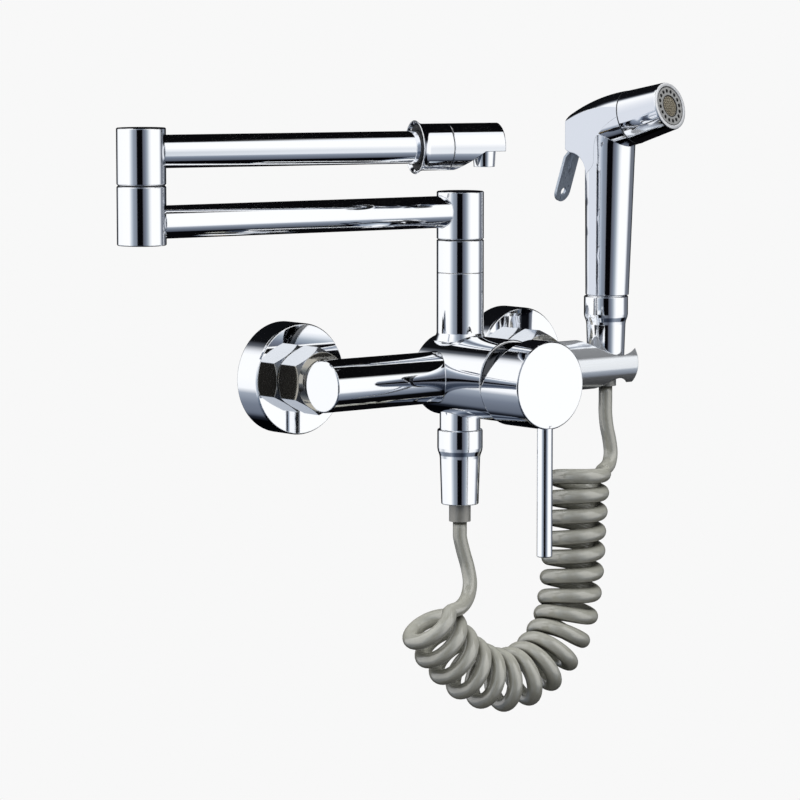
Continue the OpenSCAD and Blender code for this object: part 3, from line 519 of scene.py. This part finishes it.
def bush_tree(material):
    """Small rubber bushes on a ring."""
    tree, (ring, count, bush, thickness) = geometry_tree(
        "bush_ring", ("Ring", "Count", "Bush", "Thickness"))
    spots = made_of(tree, "GeometryNodeMeshCircle", named={"Vertices": count, "Radius": ring})
    round_line = made_of(tree, "GeometryNodeCurvePrimitiveCircle",
                         named={"Resolution": 14, "Radius": bush})
    bushes = made_of(tree, "GeometryNodeInstanceOnPoints",
                     named={"Points": spots, "Instance": swept(tree, round_line, thickness, 8)})
    finish_tree(tree, bushes, material)
    return tree


def grown(name, tree, place, **sizes):
    """The plain mesh object that a Geometry Nodes tree makes at a place from its sizes."""
    seed = object_from(name + "_seed", bpy.data.meshes.new(name + "_seed"))
    modifier = seed.modifiers.new("grow", "NODES")
    modifier.node_group = tree
    for item in tree.interface.items_tree:
        if item.in_out == "INPUT":
            modifier[item.identifier] = float(sizes[item.name.lower()])
    bpy.context.view_layer.update()
    final = seed.evaluated_get(bpy.context.evaluated_depsgraph_get())
    mesh = bpy.data.meshes.new_from_object(final)
    bpy.data.objects.remove(seed)
    mesh.name = name
    mesh.transform(place)
    return object_from(name, mesh)


def ring_mesh(name, rows):
    """A mesh through rows of points, closed both along the rows and from the last to the first."""
    builder = bmesh.new()
    rows = [[builder.verts.new(point) for point in row] for row in rows]
    for corners, after in zip(rows, rows[1:] + rows[:1]):
        for i in range(len(corners)):
            n = (i + 1) % len(corners)
            builder.faces.new((corners[i], after[i], after[n], corners[n]))
    bmesh.ops.recalc_face_normals(builder, faces=builder.faces)
    return mesh_of(name, builder)


def lathed(name, profile, sides, place):
    """A closed ring turned from a profile of (radius, height) points, at a place."""
    angles = [math.tau * k / sides for k in range(sides)]
    mesh = ring_mesh(name, [[(radius * math.cos(angle), radius * math.sin(angle), height)
                             for radius, height in profile] for angle in angles])
    mesh.transform(place)
    return mesh


def outlet_place():
    """The row-frame matrix of the outlet cup's mouth: Z along the upper arm."""
    return (Matrix.Translation(ELBOW_AT) @ Matrix.Rotation(UPPER_TURN, 4, "Z")
            @ Matrix.Translation((CUP_BACK, 0, 0)) @ Matrix.Rotation(math.pi / 2, 4, "Y"))


def left_axis():
    """The direction to the left of the hand spray."""
    return spray_place().to_3x3() @ Vector((0, 1, 0))


def face_axis():
    """The direction in which the nozzle plate faces."""
    return face_place().to_3x3() @ Vector((0, 0, 1))


# ---------------------------------------------------------------- the curly hose


def spline_at(points, u):
    """Catmull-Rom value on a list of points, past its ends as well."""
    n = len(points)
    i = int(min(max(math.floor(u), 0), n - 2))
    t = u - i
    b, c = Vector(points[i]), Vector(points[i + 1])
    a = Vector(points[i - 1]) if i > 0 else 2 * b - c
    d = Vector(points[i + 2]) if i < n - 2 else 2 * c - b
    return 0.5 * (2 * b + (c - a) * t + (2 * a - 5 * b + 4 * c - d) * t * t
                  + (3 * b - a - 3 * c + d) * t ** 3)


def curl_point(u, curl_radius):
    """A point of the right-handed helix after u turns, in metres; whole turns face the front."""
    axis = spline_at(CURL_AXIS, u)
    along = (spline_at(CURL_AXIS, u + 0.01) - spline_at(CURL_AXIS, u - 0.01)).normalized()
    front = curl_radius * math.cos(math.tau * u)
    side = curl_radius * math.sin(math.tau * u)
    return Vector((axis.x * MM + side * along.y, -BAR_REACH - front, axis.y * MM - side * along.x))


def chord_spline(a, b, c, d, steps):
    """Points from b towards c on a Catmull-Rom curve that keeps to its chord lengths."""
    t1 = (b - a).length ** 0.5
    t2 = t1 + (c - b).length ** 0.5
    t3 = t2 + (d - c).length ** 0.5
    out = []
    for k in range(steps):
        t = t1 + (t2 - t1) * k / steps
        p = a * ((t1 - t) / t1) + b * (t / t1)
        q = b * ((t2 - t) / (t2 - t1)) + c * ((t - t1) / (t2 - t1))
        r = c * ((t3 - t) / (t3 - t2)) + d * ((t - t2) / (t3 - t2))
        s = p * ((t2 - t) / t2) + q * (t / t2)
        w = q * ((t3 - t) / (t3 - t1)) + r * ((t - t1) / (t3 - t1))
        out.append(s * ((t2 - t) / (t2 - t1)) + w * ((t - t1) / (t2 - t1)))
    return out


def hose_route(diameter, curl_radius, per_curl):
    """The hose's centre line: two straight ends, two leads and the curls between them."""
    def lead(points):
        return [Vector((x * MM, y * MM - BAR_REACH, z * MM)) for x, y, z in points]
    start = [Vector((0, -BAR_REACH, HOSE_START_Z - diameter * k)) for k in (0, 0.5, 1)]
    end = [Vector((HOLDER_X, -BAR_REACH, HOSE_END_Z - diameter * k)) for k in (1, 0.5, 0)]
    steps = math.ceil((LAST_TURN - FIRST_TURN) * per_curl)
    curls = [curl_point(FIRST_TURN + (LAST_TURN - FIRST_TURN) * i / steps, curl_radius)
             for i in range(steps + 1)]
    rough = start + lead(LEAD_IN) + curls + lead(LEAD_OUT) + end
    route = []
    for i, point in enumerate(rough[:-1]):
        span = (rough[i + 1] - point).length
        if 0 < i < len(rough) - 2 and span > LONG_SPAN:
            route += chord_spline(rough[i - 1], point, rough[i + 1], rough[i + 2], 5)
        else:
            route.append(point)
    return route + [rough[-1]]


def tube_mesh(name, route, radii, sides):
    """A closed tube round a route, with a UV map that runs round it and along it in metres."""
    builder = bmesh.new()
    across = Vector((1, 0, 0))
    angles = [math.tau * k / sides for k in range(sides)]
    rings, travelled, marks = [], 0.0, []
    for i, point in enumerate(route):
        before = route[max(i - 1, 0)]
        after = route[min(i + 1, len(route) - 1)]
        along = (after - before).normalized()
        across = (across - along * across.dot(along)).normalized()
        beside = along.cross(across)
        if i:
            travelled += (point - route[i - 1]).length
        marks.append(travelled)
        rings.append([builder.verts.new(
            point + radii[i] * (math.cos(t) * across + math.sin(t) * beside)) for t in angles])
    uv = builder.loops.layers.uv.new("UVMap")
    for i in range(len(rings) - 1):
        for k in range(sides):
            n = (k + 1) % sides
            face = builder.faces.new((rings[i][k], rings[i][n], rings[i + 1][n], rings[i + 1][k]))
            corners = ((k, i), (k + 1, i), (k + 1, i + 1), (k, i + 1))
            for loop, (u, v) in zip(face.loops, corners):
                loop[uv].uv = (u / sides, marks[v])
    builder.faces.new(list(reversed(rings[0])))
    builder.faces.new(rings[-1])
    return mesh_of(name, builder), travelled


# ---------------------------------------------------------------- wall unions


def thread_height(depth, turn, pitch):
    """Height of a thread's flank, 0 at its root and 1 at its flattened crest."""
    wave = abs(2 * ((depth / pitch - turn) % 1) - 1)
    return min(max(1.5 * wave - 0.25, 0), 1)


def union_mesh(name, side, sizes):
    """A wall union with its cut thread, collar and bore, along Y; depths grow into the room."""
    corners = 48
    rows = round((UNION_NECK - UNION_TIP) / (sizes.pitch / 8))
    cut = [UNION_TIP + (UNION_NECK - UNION_TIP) * i / rows for i in range(rows + 1)]
    outside = [(UNION_NECK, SHANK_R), (0.0107, SHANK_R), (0.011, COLLAR_R - 0.0003),
               (0.0113, COLLAR_R), (UNION_END - 0.0004, COLLAR_R), (UNION_END, COLLAR_R - 0.0004)]
    bore = [(UNION_END, UNION_BORE), (UNION_END - 0.001, UNION_BORE),
            (UNION_TIP + 0.001, UNION_BORE), (UNION_TIP, UNION_BORE + 0.0006)]

    def thread_radius(depth, turn):
        run_out = min((depth - UNION_TIP) / 0.002, 1, (UNION_NECK - depth) / 0.0015 + 0.1)
        height = thread_height(depth, turn, sizes.pitch) * max(run_out, 0)
        return THREAD_R - sizes.thread_depth * (1 - height)

    def ring(depth, radii):
        return [(side * INLET_X + radius * math.cos(math.tau * k / corners), -depth,
                 radius * math.sin(math.tau * k / corners)) for k, radius in enumerate(radii)]

    rings = [ring(depth, [thread_radius(depth, k / corners) for k in range(corners)])
             for depth in cut]
    rings += [ring(depth, [radius] * corners) for depth, radius in outside + bore]
    return ring_mesh(name, rings)


# ---------------------------------------------------------------- properties


class MixerStageSizes(bpy.types.PropertyGroup):
    """Camera and background of the studio."""
    azimuth: bpy.props.FloatProperty(name="Azimuth", description="Camera's angle round the mixer",
                                     default=math.radians(-39.762), subtype="ANGLE")
    elevation: bpy.props.FloatProperty(name="Elevation", description="Camera's angle above level",
                                       default=math.radians(6.166), subtype="ANGLE")
    roll: bpy.props.FloatProperty(name="Roll", description="Camera's roll",
                                  default=math.radians(0.027), subtype="ANGLE")
    lens: bpy.props.FloatProperty(name="Lens", description="Focal length on a 36 mm sensor",
                                  default=169.05)
    place: bpy.props.FloatVectorProperty(
        name="Place", description="Where the camera stands",
        default=(-1.25294, -1.51072, 0.19476), subtype="TRANSLATION")
    backdrop: bpy.props.FloatVectorProperty(
        name="Backdrop", description="Colour behind the mixer",
        default=screen_colour(248, 248, 248)[:3], subtype="COLOR")


class MixerHoseSizes(bpy.types.PropertyGroup):
    """The curly hose."""
    diameter: bpy.props.FloatProperty(name="Diameter", description="Outside of the hose",
                                      default=0.0078, subtype="DISTANCE")
    curl_radius: bpy.props.FloatProperty(
        name="Curl radius", description="To the middle of the hose", default=0.0128,
        subtype="DISTANCE")
    light: bpy.props.FloatVectorProperty(name="Light grey", description="Paler shade of the PVC",
                                         default=(199, 198, 187), min=0, max=255)
    dark: bpy.props.FloatVectorProperty(name="Dark grey", description="Darker shade of the PVC",
                                        default=(181, 180, 167), min=0, max=255)


class MixerChromeLook(bpy.types.PropertyGroup):
    """The plating."""
    tint: bpy.props.FloatVectorProperty(name="Tint", description="Colour of the plating",
                                        default=(0.955, 0.965, 0.985), subtype="COLOR")
    roughness: bpy.props.FloatProperty(name="Haze", description="Roughness of the plating",
                                       default=0.025, min=0, max=1)


class MixerSprayFace(bpy.types.PropertyGroup):
    """The woven filter and the jets of the hand spray."""
    filter_radius: bpy.props.FloatProperty(name="Filter radius", description="Of the woven round",
                                           default=0.0056, subtype="DISTANCE")
    pitch: bpy.props.FloatProperty(name="Wire pitch", description="From wire to wire",
                                   default=0.00088, subtype="DISTANCE")
    wire: bpy.props.FloatProperty(name="Wire", description="Thickness of its wires",
                                  default=0.00033, subtype="DISTANCE")
    jet_ring: bpy.props.FloatProperty(name="Jet ring", description="Radius on which the jets stand",
                                      default=0.008, subtype="DISTANCE")
    jets: bpy.props.IntProperty(name="Jets", description="How many jets", default=16, min=3)


class MixerOutletCup(bpy.types.PropertyGroup):
    """The cup at the end of the upper arm."""
    radius: bpy.props.FloatProperty(name="Radius", description="Outside of the cup", default=0.0117,
                                    subtype="DISTANCE", precision=5)
    mouth: bpy.props.FloatProperty(name="Mouth", description="Radius of its flared mouth",
                                   default=0.0134, subtype="DISTANCE", precision=5)


class MixerOutletGrid(bpy.types.PropertyGroup):
    """The grid in the outlet nozzle."""
    radius: bpy.props.FloatProperty(name="Radius", description="Of the grid", default=0.0045,
                                    subtype="DISTANCE")
    pitch: bpy.props.FloatProperty(name="Pitch", description="From bar to bar", default=0.0013,
                                   subtype="DISTANCE")
    bar: bpy.props.FloatProperty(name="Bar", description="Thickness of its bars", default=0.0004,
                                 subtype="DISTANCE")


class MixerSeamShades(bpy.types.PropertyGroup):
    """The dark rings of painted seam shade."""
    width: bpy.props.FloatProperty(
        name="Seam width", description="Of the seal at the barrel's seam", default=0.00036,
        subtype="DISTANCE", precision=5)


class MixerThreads(bpy.types.PropertyGroup):
    """The cut thread of the wall unions."""
    pitch: bpy.props.FloatProperty(name="Pitch", description="From crest to crest",
                                   default=0.001814, subtype="DISTANCE", precision=6)
    thread_depth: bpy.props.FloatProperty(name="Depth", description="From crest to root",
                                          default=0.0011, subtype="DISTANCE")


# ---------------------------------------------------------------- operators


def window(tree, value, low, high, soft):
    """One between low and high, falling to zero over soft on either side."""
    rising = remap(tree, value, 0, 1, low - soft, low)
    falling = remap(tree, value, 1, 0, high, high + soft)
    return maths(tree, "MULTIPLY", rising, falling)


def angle_ramp(tree, angle, reach, stops):
    """A colour ramp by degrees, from minus reach to reach."""
    return band_ramp(tree, remap(tree, angle, 0, 1, -reach, reach),
                     [(at / (2 * reach) + 0.5, colour) for at, colour in stops])


def studio_walls(tree, turn, climb):
    """The walls as mirrors show them, by degrees round from the camera and above level: a pale
    panel on either side, greys towards the camera, and dark behind the mixer and beyond the
    right panel."""
    lean = maths(tree, "MULTIPLY", maths(tree, "SIGN", turn), remap(tree, climb, 0, 17, -6, 30))
    leaned = maths(tree, "ADD", turn, lean)
    walls = angle_ramp(tree, leaned, 180, (
        (-180, (14, 15, 18)), (-149, (16, 17, 20)), (-141, (90, 94, 102)), (-133, (236, 238, 242)),
        (-128, (252, 253, 254)), (-56, (255, 255, 255)), (-44, (194, 203, 213)),
        (-34, (144, 154, 167)), (-20, (124, 131, 143)), (12, (88, 92, 102)), (24, (118, 125, 140)),
        (34, (160, 170, 180)), (44, (226, 230, 235)), (54, (255, 255, 255)), (96, (254, 255, 255)),
        (104, (212, 215, 221)), (111, (116, 121, 131)), (140, (104, 109, 118)), (152, (40, 42, 48)),
        (160, (12, 13, 16)), (180, (14, 15, 18))))
    away = maths(tree, "ABSOLUTE", turn)
    lowered = maths(tree, "SUBTRACT", climb, remap(tree, away, 0, 13, 60, 98))
    storeys = angle_ramp(tree, lowered, 90, (
        (-90, (0, 0, 0)), (-66, (2, 2, 4)), (-61, (84, 90, 102)), (-44, (118, 126, 140)),
        (-33, (158, 166, 178)), (-27, (250, 251, 253)), (-14, (255, 255, 255)),
        (50, (255, 255, 255)), (57, (244, 246, 250)), (60, (10, 10, 12)), (80, (14, 15, 18)),
        (86, (44, 47, 54)), (90, (62, 66, 74))))
    outer = maths(tree, "MAXIMUM", remap(tree, climb, 0, 1, 8, 16),
                  remap(tree, climb, 1, 0, -24, -16))
    beyond = maths(tree, "MULTIPLY", outer, remap(tree, leaned, 0, 1, 96, 101))
    lit = blend_colours(tree, 1.0, walls, storeys, "MULTIPLY")
    return blend_colours(tree, beyond, lit, screen_colour(8, 8, 10))


def background(tree, colour, strength=1.0):
    """A Background shader of the world."""
    made = add_node(tree, "ShaderNodeBackground")
    feed(tree, made.inputs["Color"], colour)
    feed(tree, made.inputs["Strength"], strength)
    return made.outputs[0]


def mixed_shader(tree, factor, first, second):
    """Two shaders mixed by a factor."""
    made = add_node(tree, "ShaderNodeMixShader")
    for socket, value in zip(made.inputs, (factor, first, second)):
        feed(tree, socket, value)
    return made.outputs[0]


def backdrop_world(sizes):
    """A studio that mirrors show as bands: pale walls, a dark slot behind the camera, a black
    ceiling and floor, and a pale backdrop for the eye."""
    world = bpy.data.worlds.new("studio")
    bpy.context.scene.world = world
    world.use_nodes = True
    tree = world.node_tree
    tree.nodes.clear()
    direction = add_node(tree, "ShaderNodeTexCoord").outputs["Generated"]
    towards = (math.sin(sizes.azimuth), -math.cos(sizes.azimuth), 0)
    rightwards = (math.cos(sizes.azimuth), math.sin(sizes.azimuth), 0)
    turn = maths(tree, "DEGREES", maths(tree, "ARCTAN2", dot_with(tree, direction, rightwards),
                                        dot_with(tree, direction, towards)))
    climb = maths(tree, "DEGREES", maths(tree, "ARCSINE", dot_with(tree, direction, (0, 0, 1))))
    slot = maths(tree, "MULTIPLY", window(tree, turn, -15, 9, 3), window(tree, climb, -16, 2, 5))
    mirrored = blend_colours(tree, slot, studio_walls(tree, turn, climb), screen_colour(6, 6, 8))
    mirror_light = background(tree, mirrored, 1.04)
    soft_light = background(tree, (0.97, 0.98, 1.0, 1), remap(tree, climb, 0.0, 1.5, -20, 70))
    seen = background(tree, (*sizes.backdrop, 1))
    path = add_node(tree, "ShaderNodeLightPath").outputs
    bounced = mixed_shader(tree, path["Is Glossy Ray"], soft_light, mirror_light)
    final = mixed_shader(tree, path["Is Camera Ray"], bounced, seen)
    feed(tree, add_node(tree, "ShaderNodeOutputWorld").inputs[0], final)


def soft_lamp(name, place, aim, size, power):
    """An area lamp that lights matt surfaces and stays out of the mirrors."""
    lamp = bpy.data.lights.new(name, "AREA")
    lamp.shape = "SQUARE"
    lamp.size = size
    lamp.energy = power
    made = object_from(name, lamp)
    made.location = place
    made.rotation_euler = (Vector(aim) - Vector(place)).to_track_quat("-Z", "Y").to_euler()
    made.visible_glossy = False
    made.visible_camera = False


class MIXER_OT_stage(bpy.types.Operator):
    """Sets up the camera, the studio and the floor"""
    bl_idname = "mixer.stage"
    bl_label = "Studio and camera"

    def execute(self, context):
        sizes = context.scene.mixer_stage
        scene = context.scene
        camera = bpy.data.cameras.new("camera")
        camera.sensor_width = 36
        camera.lens = sizes.lens
        camera.clip_end = 50
        holder = object_from("camera", camera)
        holder.location = sizes.place
        holder.rotation_euler = (math.pi / 2 - sizes.elevation, sizes.roll, sizes.azimuth)
        scene.camera = holder
        scene.view_settings.view_transform = "Standard"
        backdrop_world(sizes)
        soft_lamp("key_lamp", (-1.1, -1.3, 1.6), (0, -0.05, 0), 1.0, 9)
        soft_lamp("fill_lamp", (1.4, -0.9, 0.6), (0.05, -0.05, 0), 1.2, 3)
        soft_lamp("back_lamp", (0.2, 1.2, 1.4), (0, -0.05, 0), 1.0, 4)
        builder = bmesh.new()
        bmesh.ops.create_circle(builder, cap_ends=True, segments=96, radius=FLOOR_R,
                                matrix=Matrix.Translation((0.0, -0.06, FLOOR_Z)))
        floor = object_from("studio_floor", mesh_of("studio_floor", builder))
        material, tree, shader = new_material("pale_floor")
        seen = add_node(tree, "ShaderNodeLightPath").outputs["Is Camera Ray"]
        grain = blend_colours(tree, noise(tree, 300), (0.775, 0.775, 0.765, 1),
                              (0.795, 0.795, 0.785, 1))
        colour = blend_colours(tree, seen, (0.1, 0.1, 0.1, 1), grain)
        feed(tree, shader.inputs["Base Color"], colour)
        shader.inputs["Roughness"].default_value = 0.9
        floor.data.materials.append(material)
        floor.visible_glossy = False
        return {"FINISHED"}


class MIXER_OT_hose(bpy.types.Operator):
    """Winds the curly hose from the mixer's outlet to the hand spray"""
    bl_idname = "mixer.hose"
    bl_label = "Curly hose"

    def execute(self, context):
        sizes = context.scene.mixer_hose
        route = hose_route(sizes.diameter, sizes.curl_radius, CURL_POINTS)
        radii = []
        for i in range(len(route)):
            near = min(i / HOSE_EASE, (len(route) - 1 - i) / HOSE_EASE, 1)
            share = HOSE_THIN + (HOSE_FULL - HOSE_THIN) * near ** 2 * (3 - 2 * near)
            radii.append(sizes.diameter / 2 * share)
        mesh, length = tube_mesh("hand_spray_hose", route, radii, HOSE_CORNERS)
        hose = object_from("hand_spray_hose", mesh)
        hose.data.materials.append(hose_finish("hose_pvc", sizes.light, sizes.dark, 0.1))
        for polygon in hose.data.polygons:
            polygon.use_smooth = True
        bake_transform(hose)
        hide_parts("curly_hose")
        return {"FINISHED"}


class MIXER_OT_spray_face(bpy.types.Operator):
    """Weaves the filter of the hand spray and sets the bushes of its jets"""
    bl_idname = "mixer.spray_face"
    bl_label = "Spray face"

    def execute(self, context):
        sizes = context.scene.mixer_spray_face
        wire = steel_finish("woven_wire", (182, 170, 146), (232, 224, 204), 0.3, 0.5)
        woven = grown("spray_filter", woven_tree(wire), face_place(-0.00105),
                      radius=sizes.filter_radius, pitch=sizes.pitch, wire=sizes.wire, crown=0.0004)
        finished(woven, "spray", None)
        black = rubber_finish("jet_rubber", (12, 12, 12))
        jets = grown("spray_jets", bush_tree(black), face_place(-0.00098),
                     ring=sizes.jet_ring, count=sizes.jets, bush=0.00058, thickness=0.0008)
        finished(jets, "spray", None)
        return {"FINISHED"}


class MIXER_OT_seam_shades(bpy.types.Operator):
    """Turns thin dark rings that paint the shade of the spray's seam, the gaps round its plate and filter, and the
    outlet cup's recess
    """
    bl_idname = "mixer.seals"
    bl_label = "Seals"

    def execute(self, context):
        width = context.scene.mixer_seals.width
        half = width / 2
        # Painted shade: the joints are real, and these dark rubber rings stand in for the shade in the seam, the
        # gaps and the cup's recess.
        rubber = rubber_finish("seam_shade_rubber", (26, 27, 30))
        seam = [(SEAM_R - 0.0006, -half), (SEAM_R + 0.00008, -half), (SEAM_R + 0.00012, 0),
                (SEAM_R + 0.00008, half), (SEAM_R - 0.0006, half)]
        rim = [(PLATE_R - 0.0003, PLATE_TOP - 0.0001), (PLATE_R + 0.00005, PLATE_TOP - 0.0001),
               (PLATE_R + 0.00005, PLATE_TOP + 0.00008), (PLATE_R - 0.0003, PLATE_TOP + 0.00008)]
        mesh_edge = [(r - PLATE_R + MESH_R, z) for r, z in rim]
        cup = [(ARM_R + 0.00006, CUP_DEPTH), (ARM_R + 0.00006, 0.0026), (ARM_R + 0.0006, 0.0018),
               (CUP_MOUTH - 0.0008, 0.0014), (CUP_MOUTH - 0.00068, 0.0016),
               (ARM_R + 0.0011, CUP_DEPTH)]
        for name, profile, place, body in (
                ("barrel_seam_shade", seam, face_place(-SEAM_BACK), "spray"),
                ("plate_seam_shade", rim, face_place(), "spray"),
                ("filter_seam_shade", mesh_edge, face_place(), "spray"),
                ("cup_recess_shade", cup, outlet_place(), "upper_arm")):
            finished(object_from(name, lathed(name, profile, 96, place)), body, rubber)
        return {"FINISHED"}


class MIXER_OT_outlet_cup(bpy.types.Operator):
    """Spins the outlet's cup with the hollow sweep of its flared mouth"""
    bl_idname = "mixer.outlet_cup"
    bl_label = "Outlet cup"

    def execute(self, context):
        sizes = context.scene.mixer_outlet_cup
        wall = sizes.radius
        flare = sizes.mouth - wall
        shares = [step / FLARE_STEPS for step in range(FLARE_STEPS + 1)]
        outside = [(wall + flare * (1 - share) ** 2.2, 0.0002 + FLARE_LENGTH * share)
                   for share in shares]
        profile = ([(sizes.mouth - 0.0004, 0)] + outside
                   + [(wall, CUP_LENGTH - 0.0002), (wall - 0.0002, CUP_LENGTH),
                      (ARM_R + 0.00005, CUP_LENGTH), (ARM_R + 0.00005, CUP_DEPTH),
                      (ARM_R + 0.0012, CUP_DEPTH), (CUP_MOUTH + 0.0004, 0.0006),
                      (sizes.mouth - 0.0006, 0)])
        look = context.scene.mixer_chrome
        plating = chrome_finish("cup_chrome", (*look.tint, 1), look.roughness)
        cup = object_from("flared_cup", lathed("flared_cup", profile, 128, outlet_place()))
        finished(cup, "upper_arm", plating)
        cup.data.set_sharp_from_angle(angle=math.radians(30))
        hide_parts("outlet_nut")
        return {"FINISHED"}


class MIXER_OT_outlet_grid(bpy.types.Operator):
    """Lays the grid in the outlet nozzle"""
    bl_idname = "mixer.outlet_grid"
    bl_label = "Outlet grid"

    def execute(self, context):
        sizes = context.scene.mixer_outlet_grid
        nylon = rubber_finish("grid_nylon", (206, 206, 202), 0.45)
        place = Matrix.Translation(OUTLET_AT) @ Matrix.Translation((0, 0, -0.0004))
        grid = grown("outlet_grid", woven_tree(nylon), place, radius=sizes.radius,
                     pitch=sizes.pitch, wire=sizes.bar, crown=0)
        finished(grid, "upper_arm", None)
        return {"FINISHED"}


class MIXER_OT_wall_unions(bpy.types.Operator):
    """Cuts the threads of the two wall unions"""
    bl_idname = "mixer.wall_unions"
    bl_label = "Wall unions"

    def execute(self, context):
        brass = brass_finish("union_brass")
        for side, word in ((-1, "left"), (1, "right")):
            name = "threaded_union_" + word
            union = object_from(name, union_mesh(name, side, context.scene.mixer_threads))
            finished(union, "body", brass, smooth=False)
            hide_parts("wall_union_" + word)
        return {"FINISHED"}


class MIXER_OT_finishes(bpy.types.Operator):
    """Gives every solid of the frame the finish of its material slot"""
    bl_idname = "mixer.finishes"
    bl_label = "Finishes"

    def execute(self, context):
        look = context.scene.mixer_chrome
        tint = (*look.tint, 1)
        finishes = {
            "chrome": chrome_finish("mirror_chrome", tint, look.roughness),
            "brass": brass_finish(),
            "rubber": rubber_finish("black_rubber", (34, 34, 35)),
            "slip_ring": rubber_finish("dark_acetal", (40, 41, 43), 0.4),
            "cartridge_plastic": rubber_finish("white_acetal", (232, 232, 228), 0.4),
            "steel": steel_finish("spring_steel", (150, 152, 156), (184, 187, 192)),
            "trigger_steel": steel_finish(
                "trigger_steel", (170, 182, 198), (204, 214, 226), 0.26, 0.6),
            "hose_grey": hose_finish("ferrule_pvc", (158, 156, 148), (140, 138, 130), 0.3),
            "screen": rubber_finish("pale_nylon", (214, 214, 210), 0.5),
            "mesh": steel_finish("filter_backing", (34, 31, 27), (46, 42, 36), 0.5, 0.4),
        }
        own = dict.fromkeys(("union_nut_left", "union_nut_right"), nut_finish(0.05))
        # Painted shade: the trim dome is chrome, and its very dark tint stands in for the black it reflects.
        own["trim_dome"] = chrome_finish(
            "trim_painted_shade_chrome", (0.06, 0.063, 0.07, 1), look.roughness)
        own["mixer_body"] = casting_finish(tint, look.roughness)
        own["spray_body"] = spray_finish("grip_chrome", tint, look.roughness)
        own["spray_barrel"] = spray_finish("barrel_chrome", tint, look.roughness, rim=True)
        own["spray_plate"] = steel_finish(
            "blasted_zinc", (172, 172, 170), (196, 196, 194), 0.42, 0.35, 500)
        for node, part in frame["nodes"].items():
            part.data.materials.clear()
            part.data.materials.append(own.get(node, finishes[SLOTS[node]]))
        return {"FINISHED"}


class MIXER_PT_panel(bpy.types.Panel):
    """Lists the steps that dress the mixer"""
    bl_label = "Mixer"
    bl_idname = "MIXER_PT_panel"
    bl_space_type = "VIEW_3D"
    bl_region_type = "UI"
    bl_category = "Mixer"

    def draw(self, context):
        for step in STEPS:
            self.layout.operator(step.bl_idname)


STEPS = (MIXER_OT_stage, MIXER_OT_hose, MIXER_OT_spray_face, MIXER_OT_seam_shades, MIXER_OT_outlet_cup,
         MIXER_OT_outlet_grid, MIXER_OT_wall_unions, MIXER_OT_finishes)
GROUPS = {"mixer_stage": MixerStageSizes, "mixer_hose": MixerHoseSizes,
          "mixer_chrome": MixerChromeLook, "mixer_spray_face": MixerSprayFace,
          "mixer_outlet_cup": MixerOutletCup, "mixer_outlet_grid": MixerOutletGrid,
          "mixer_seals": MixerSeamShades, "mixer_threads": MixerThreads}


def register():
    for made in (*GROUPS.values(), *STEPS, MIXER_PT_panel):
        bpy.utils.register_class(made)
    for name, group in GROUPS.items():
        setattr(bpy.types.Scene, name, bpy.props.PointerProperty(type=group))


def unregister():
    for name in GROUPS:
        delattr(bpy.types.Scene, name)
    for made in (MIXER_PT_panel, *reversed(STEPS), *GROUPS.values()):
        bpy.utils.unregister_class(made)


def main():
    register()
    for step in STEPS:
        area, name = step.bl_idname.split(".")
        getattr(getattr(bpy.ops, area), name)()


if __name__ == "__main__":
    main()
